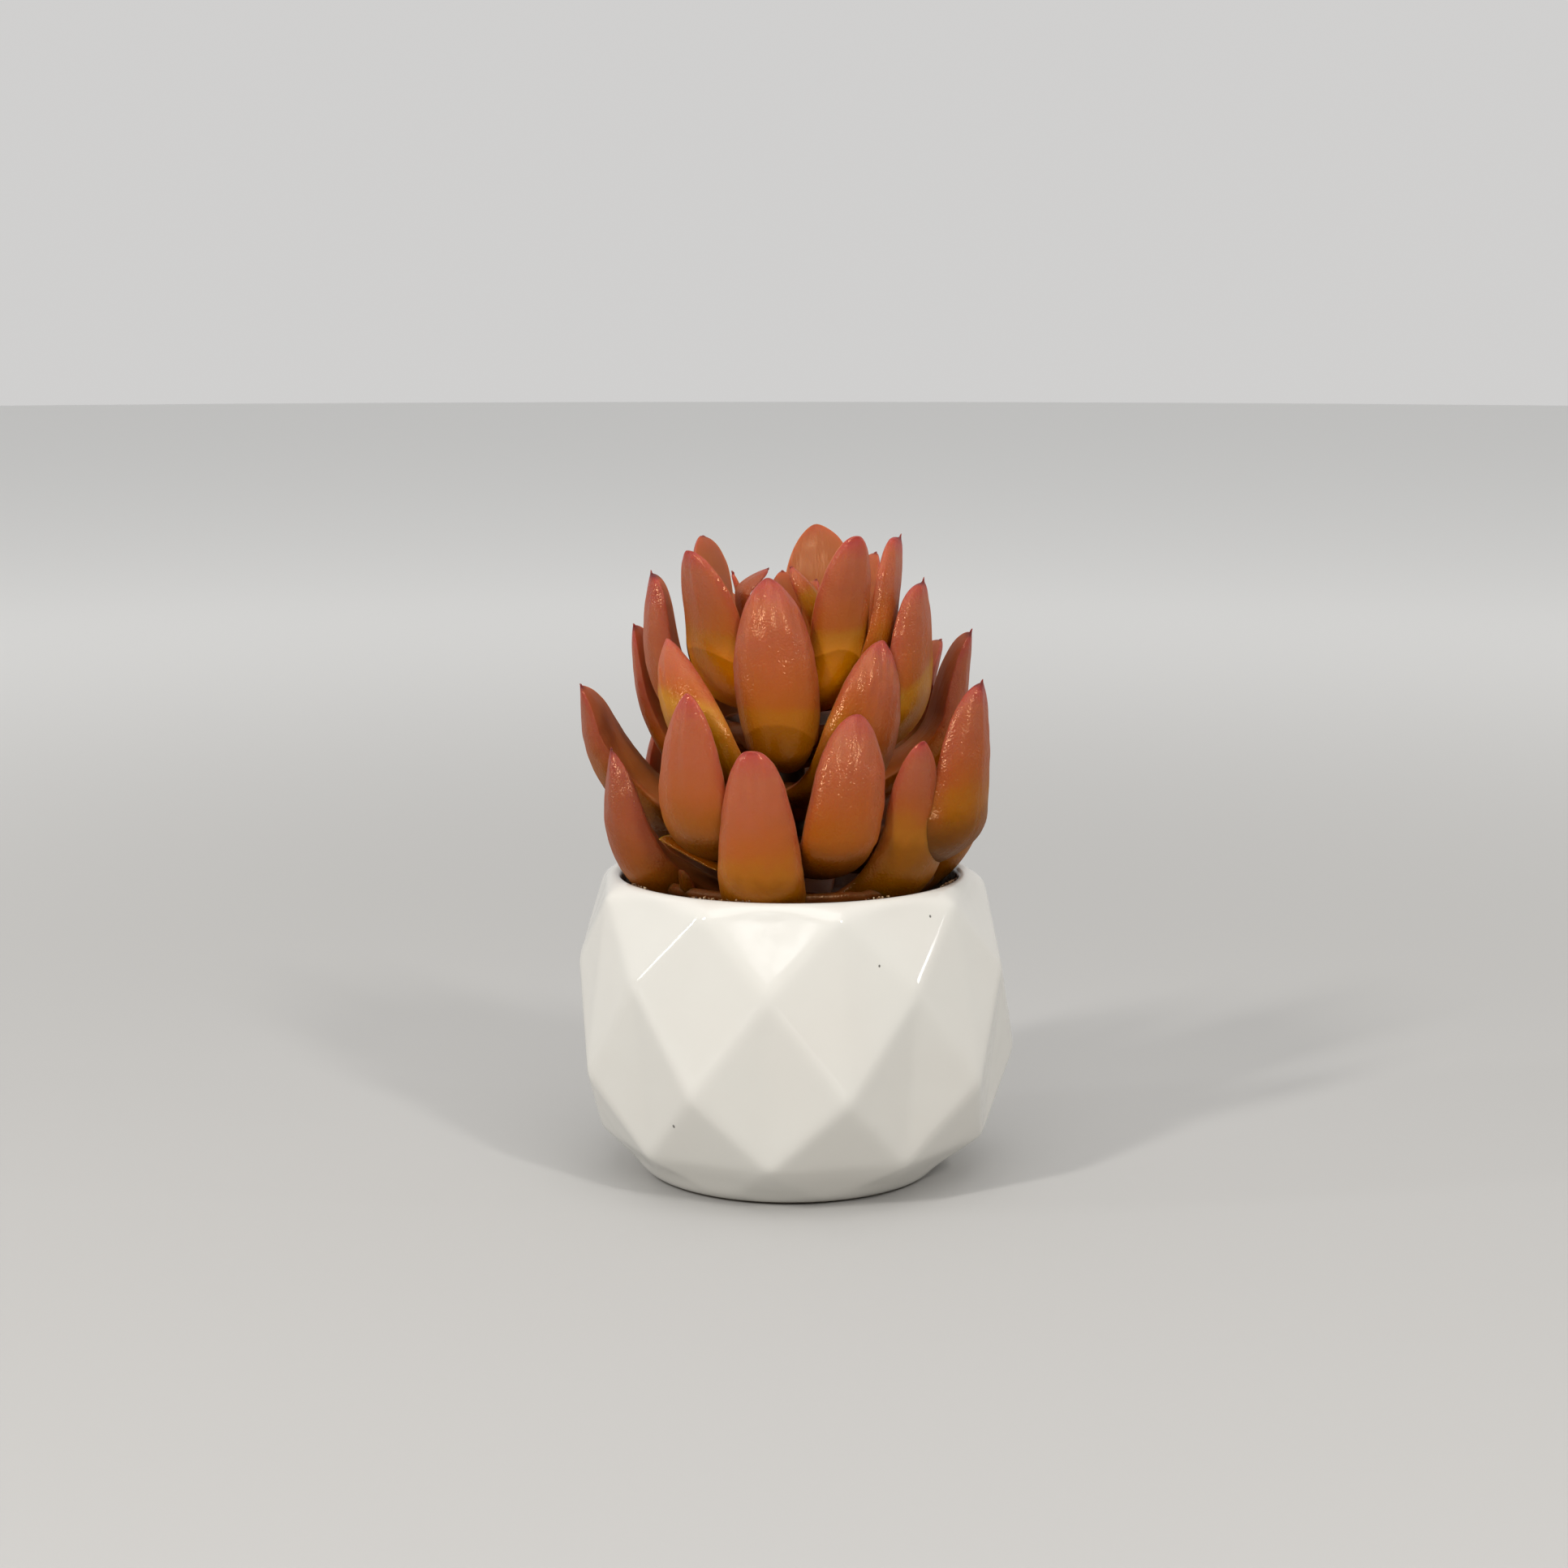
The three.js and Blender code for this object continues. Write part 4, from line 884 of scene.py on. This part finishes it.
# %% Build the whorls
LEDGE_WHORL = 2
for number, whorl in enumerate(WHORLS, 1):
    parts = [leaf_surface(form, finish, whorl, number * 10 + i)
             for i, (form, finish) in enumerate(whorl["leaves"])]
    parts.append(collar_surface(whorl, number))
    if number == LEDGE_WHORL:
        parts.append(ledge_surface(number))
    points, faces, start = [], [], 0
    for part_points, part_faces, _ in parts:
        points.append(part_points)
        faces += [tuple(v + start for v in face) for face in part_faces]
        start += len(part_points)
    leaves = mesh_object(f"whorl_{number}_leaves", np.vstack(points), faces, leaf_mat)
    for name in VALUES:
        layer = leaves.data.attributes.new(name, "FLOAT", "POINT")
        layer.data.foreach_set("value", np.concatenate([p[2][name] for p in parts]))
    layer = leaves.data.attributes.new("leaf_space", "FLOAT_VECTOR", "POINT")
    layer.data.foreach_set("vector", np.vstack([p[2]["leaf_space"] for p in parts]).reshape(-1))
    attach(leaves, "root")
    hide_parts(f"leaf_whorl_{number}")
    print(leaves.name, len(leaves.data.polygons), "faces")

# %% [markdown]
# ## Filling
# The pot holds a dark, crumbly filling that carries the stem. Only a sliver of it shows between
# the lip and the lowest leaves, and all of it from above when the leaves are lifted away. The CAD
# filling is a plain plug. Its fine twin is a turned blank of the same outline, whose top is
# broken up into crumbs by noise of three sizes, with a plain hole for the stem.

# %% Filling material
fill_mat, nt, earth, where = new_material("coir_filling")
grit = add_node(nt, "TexNoise", {"Vector": where, "Scale": 700.0, "Detail": 4.0})
soil_colour = add_node(nt, "ValToRGB", {"Fac": grit},
                       stops=[(0.32, "#160C08"), (0.55, "#2C1A12"), (0.7, "#4A3020")])
gritty = add_node(nt, "Bump", {"Strength": 0.9, "Distance": 0.4 * MM, "Height": grit})
feed(nt, earth, {"Base Color": soil_colour, "Roughness": 0.95, "Specular IOR Level": 0.2, "Normal": gritty})

# %% Filling
SOIL_TOP = 44.5
FILL_SIDES = 240
plug = densify([(HOLE, 15.7), (HOLE, 44.6), (8, 44.6), (16, 44.8), (24, 45.0), (31.0, SOIL_TOP),
                (31.8, 42), (33.9, 31), (34.7, 22), (29.3, 9.7), (21.8, 5.4), (0, 5.4)], 0.7, 1)[::-1]
turn = np.arange(FILL_SIDES) * 2 * np.pi / FILL_SIDES
fill_points = []
for r, z in plug[1:]:
    x, y = r * np.sin(turn), -r * np.cos(turn)
    crumb = sum(size * grain(x * fine, y * fine, 0 * x, seed)
                for size, fine, seed in ((0.9, 0.22, 3), (0.8, 0.7, 9), (0.5, 1.6, 27)))
    top = smoothstep(z, 43.5, 44.4) * smoothstep(r, HOLE, HOLE + 2) * (1 - smoothstep(r, 29.5, 31))
    fill_points += np.stack([x, y, z + crumb * top], 1).tolist()
fill_points += [[0, 0, float(plug[0, 1])], [0, 0, float(plug[-1, 1])]]
filling = mesh_object("filling", fill_points, closed_faces(len(plug) - 1, FILL_SIDES), fill_mat)
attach(filling, "root")
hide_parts("soil")
print("filling:", len(filling.data.polygons), "faces")

# %% [markdown]
# ## Crumbs on the lip
# Some of the filling clings to the inner edge of the lip, in a loose row in front and on the
# right. Crumbs repeat without a pattern, so a Geometry Nodes tree scatters them over a narrow
# strip that follows the lip: a random point gets a small rough lump, turned and sized at random.

# %% The strip along the lip
LIP_ARCS = [(-33, -12), (-66, -54), (24, 34), (60, 74)]  # degrees from the front
ARC_STEPS = 12
strip_points, strip_faces = [], []
for begin, end in LIP_ARCS:
    first = len(strip_points)
    for azimuth in np.linspace(begin, end, ARC_STEPS + 1):
        strip_points += [around(azimuth, 30.75, 55.2), around(azimuth, 31.5, 56.1)]
    strip_faces += [(i, i + 1, i + 3, i + 2) for i in range(first, first + 2 * ARC_STEPS, 2)]
crumbs = mesh_object("lip_crumbs", strip_points, strip_faces)

crumb_mat, nt, dry, where = new_material("dry_crumb")
dusty = add_node(nt, "TexNoise", {"Vector": where, "Scale": 900.0, "Detail": 2.0})
crumb_colour = add_node(nt, "ValToRGB", {"Fac": dusty},
                        stops=[(0.35, "#4A2E1A"), (0.52, "#8C6844"), (0.68, "#CDBB9A")])
feed(nt, dry, {"Base Color": crumb_colour, "Roughness": 0.9})

# %% The tree that scatters the crumbs
strew, crumb_inputs, g = new_tree("scatter_crumbs", {
    "Density": "Float", "Size": "Float", "Seed": "Int", "Skin": "Material"})
strewn = add_node(strew, "GeometryNodeDistributePointsOnFaces",
                  {"Mesh": g["Geometry"], "Density": g["Density"], "Seed": g["Seed"]})
ball = add_node(strew, "GeometryNodeMeshIcoSphere", {"Radius": g["Size"], "Subdivisions": 2})
there = add_node(strew, "GeometryNodeInputPosition")
rugged = add_node(strew, "TexNoise", {"Vector": there, "Scale": 3500.0})
knock = add_node(strew, "MapRange", {"Value": rugged, "To Min": 0.35, "To Max": 1.65})
knocked = add_node(strew, "VectorMath", {0: there, "Scale": knock}, operation="SCALE")
rough_lump = add_node(strew, "GeometryNodeSetPosition", {"Geometry": ball, "Position": knocked})
turned = add_node(strew, "FunctionNodeRandomValue",
                  {0: (0, 0, 0), 1: (6.3, 6.3, 6.3), "Seed": g["Seed"]}, data_type="FLOAT_VECTOR")
sized = add_node(strew, "FunctionNodeRandomValue",
                 {0: (0.4, 0.4, 0.4), 1: (1.3, 1.9, 1.3), "Seed": g["Seed"]}, data_type="FLOAT_VECTOR")
lumps = add_node(strew, "GeometryNodeInstanceOnPoints", {"Points": strewn, "Instance": rough_lump,
                                                      "Rotation": turned, "Scale": sized})
loose = add_node(strew, "GeometryNodeRealizeInstances", {0: lumps})
painted = add_node(strew, "GeometryNodeSetMaterial", {"Geometry": loose, "Material": g["Skin"]})
add_node(strew, "NodeGroupOutput", {0: painted})

grow_mesh(crumbs, strew, crumb_inputs, {"Density": 4.5e6, "Size": 0.17 * MM, "Seed": 4, "Skin": crumb_mat})
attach(crumbs, "root")
print("crumbs:", len(crumbs.data.polygons), "faces")

# %% [markdown]
# ## Stem
# A short vinyl rod carries the whorls. It shows only deep between the leaves, dark olive and
# ringed where whorls were pushed on, so its fine twin is the same rod with shallow rings.

# %% Stem
stem_mat, nt, rod, where = new_material("moulded_stem")
cloudy = add_node(nt, "TexNoise", {"Vector": where, "Scale": 300.0, "Detail": 3.0})
olive = add_node(nt, "ValToRGB", {"Fac": cloudy}, stops=[(0.3, "#2E1A06"), (0.7, "#5A3C08")])
feed(nt, rod, {"Base Color": olive, "Roughness": 0.5, "Specular IOR Level": 0.3})

STEM_R = 2.9
STEM_FOOT = 16
STEM_TOP = 95.5
STEM_SIDES = 48
RING_PITCH = 2.4
RING_DEEP = 0.14
heights = np.linspace(STEM_FOOT, 94.4, 220)
radii = STEM_R - RING_DEEP * (0.5 + 0.5 * np.cos(heights * 2 * np.pi / RING_PITCH)) - 0.02
heights = np.r_[heights, 95.0, 95.45]
radii = np.r_[radii, STEM_R - 0.5, STEM_R - 1.2]
stem_points = [around(j * 360 / STEM_SIDES, r, z) for r, z in zip(radii, heights)
               for j in range(STEM_SIDES)]
stem_points += [[0, 0, STEM_FOOT], [0, 0, STEM_TOP]]
stem = mesh_object("stem_rod", stem_points, closed_faces(len(radii), STEM_SIDES), stem_mat)
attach(stem, "root")
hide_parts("stem")
print("stem:", len(stem.data.polygons), "faces")

# %% Sizes and finish
visual_box = [list(corner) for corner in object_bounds()]
print("visual box, mm:", [[round(v / MM, 1) for v in corner] for corner in visual_box])
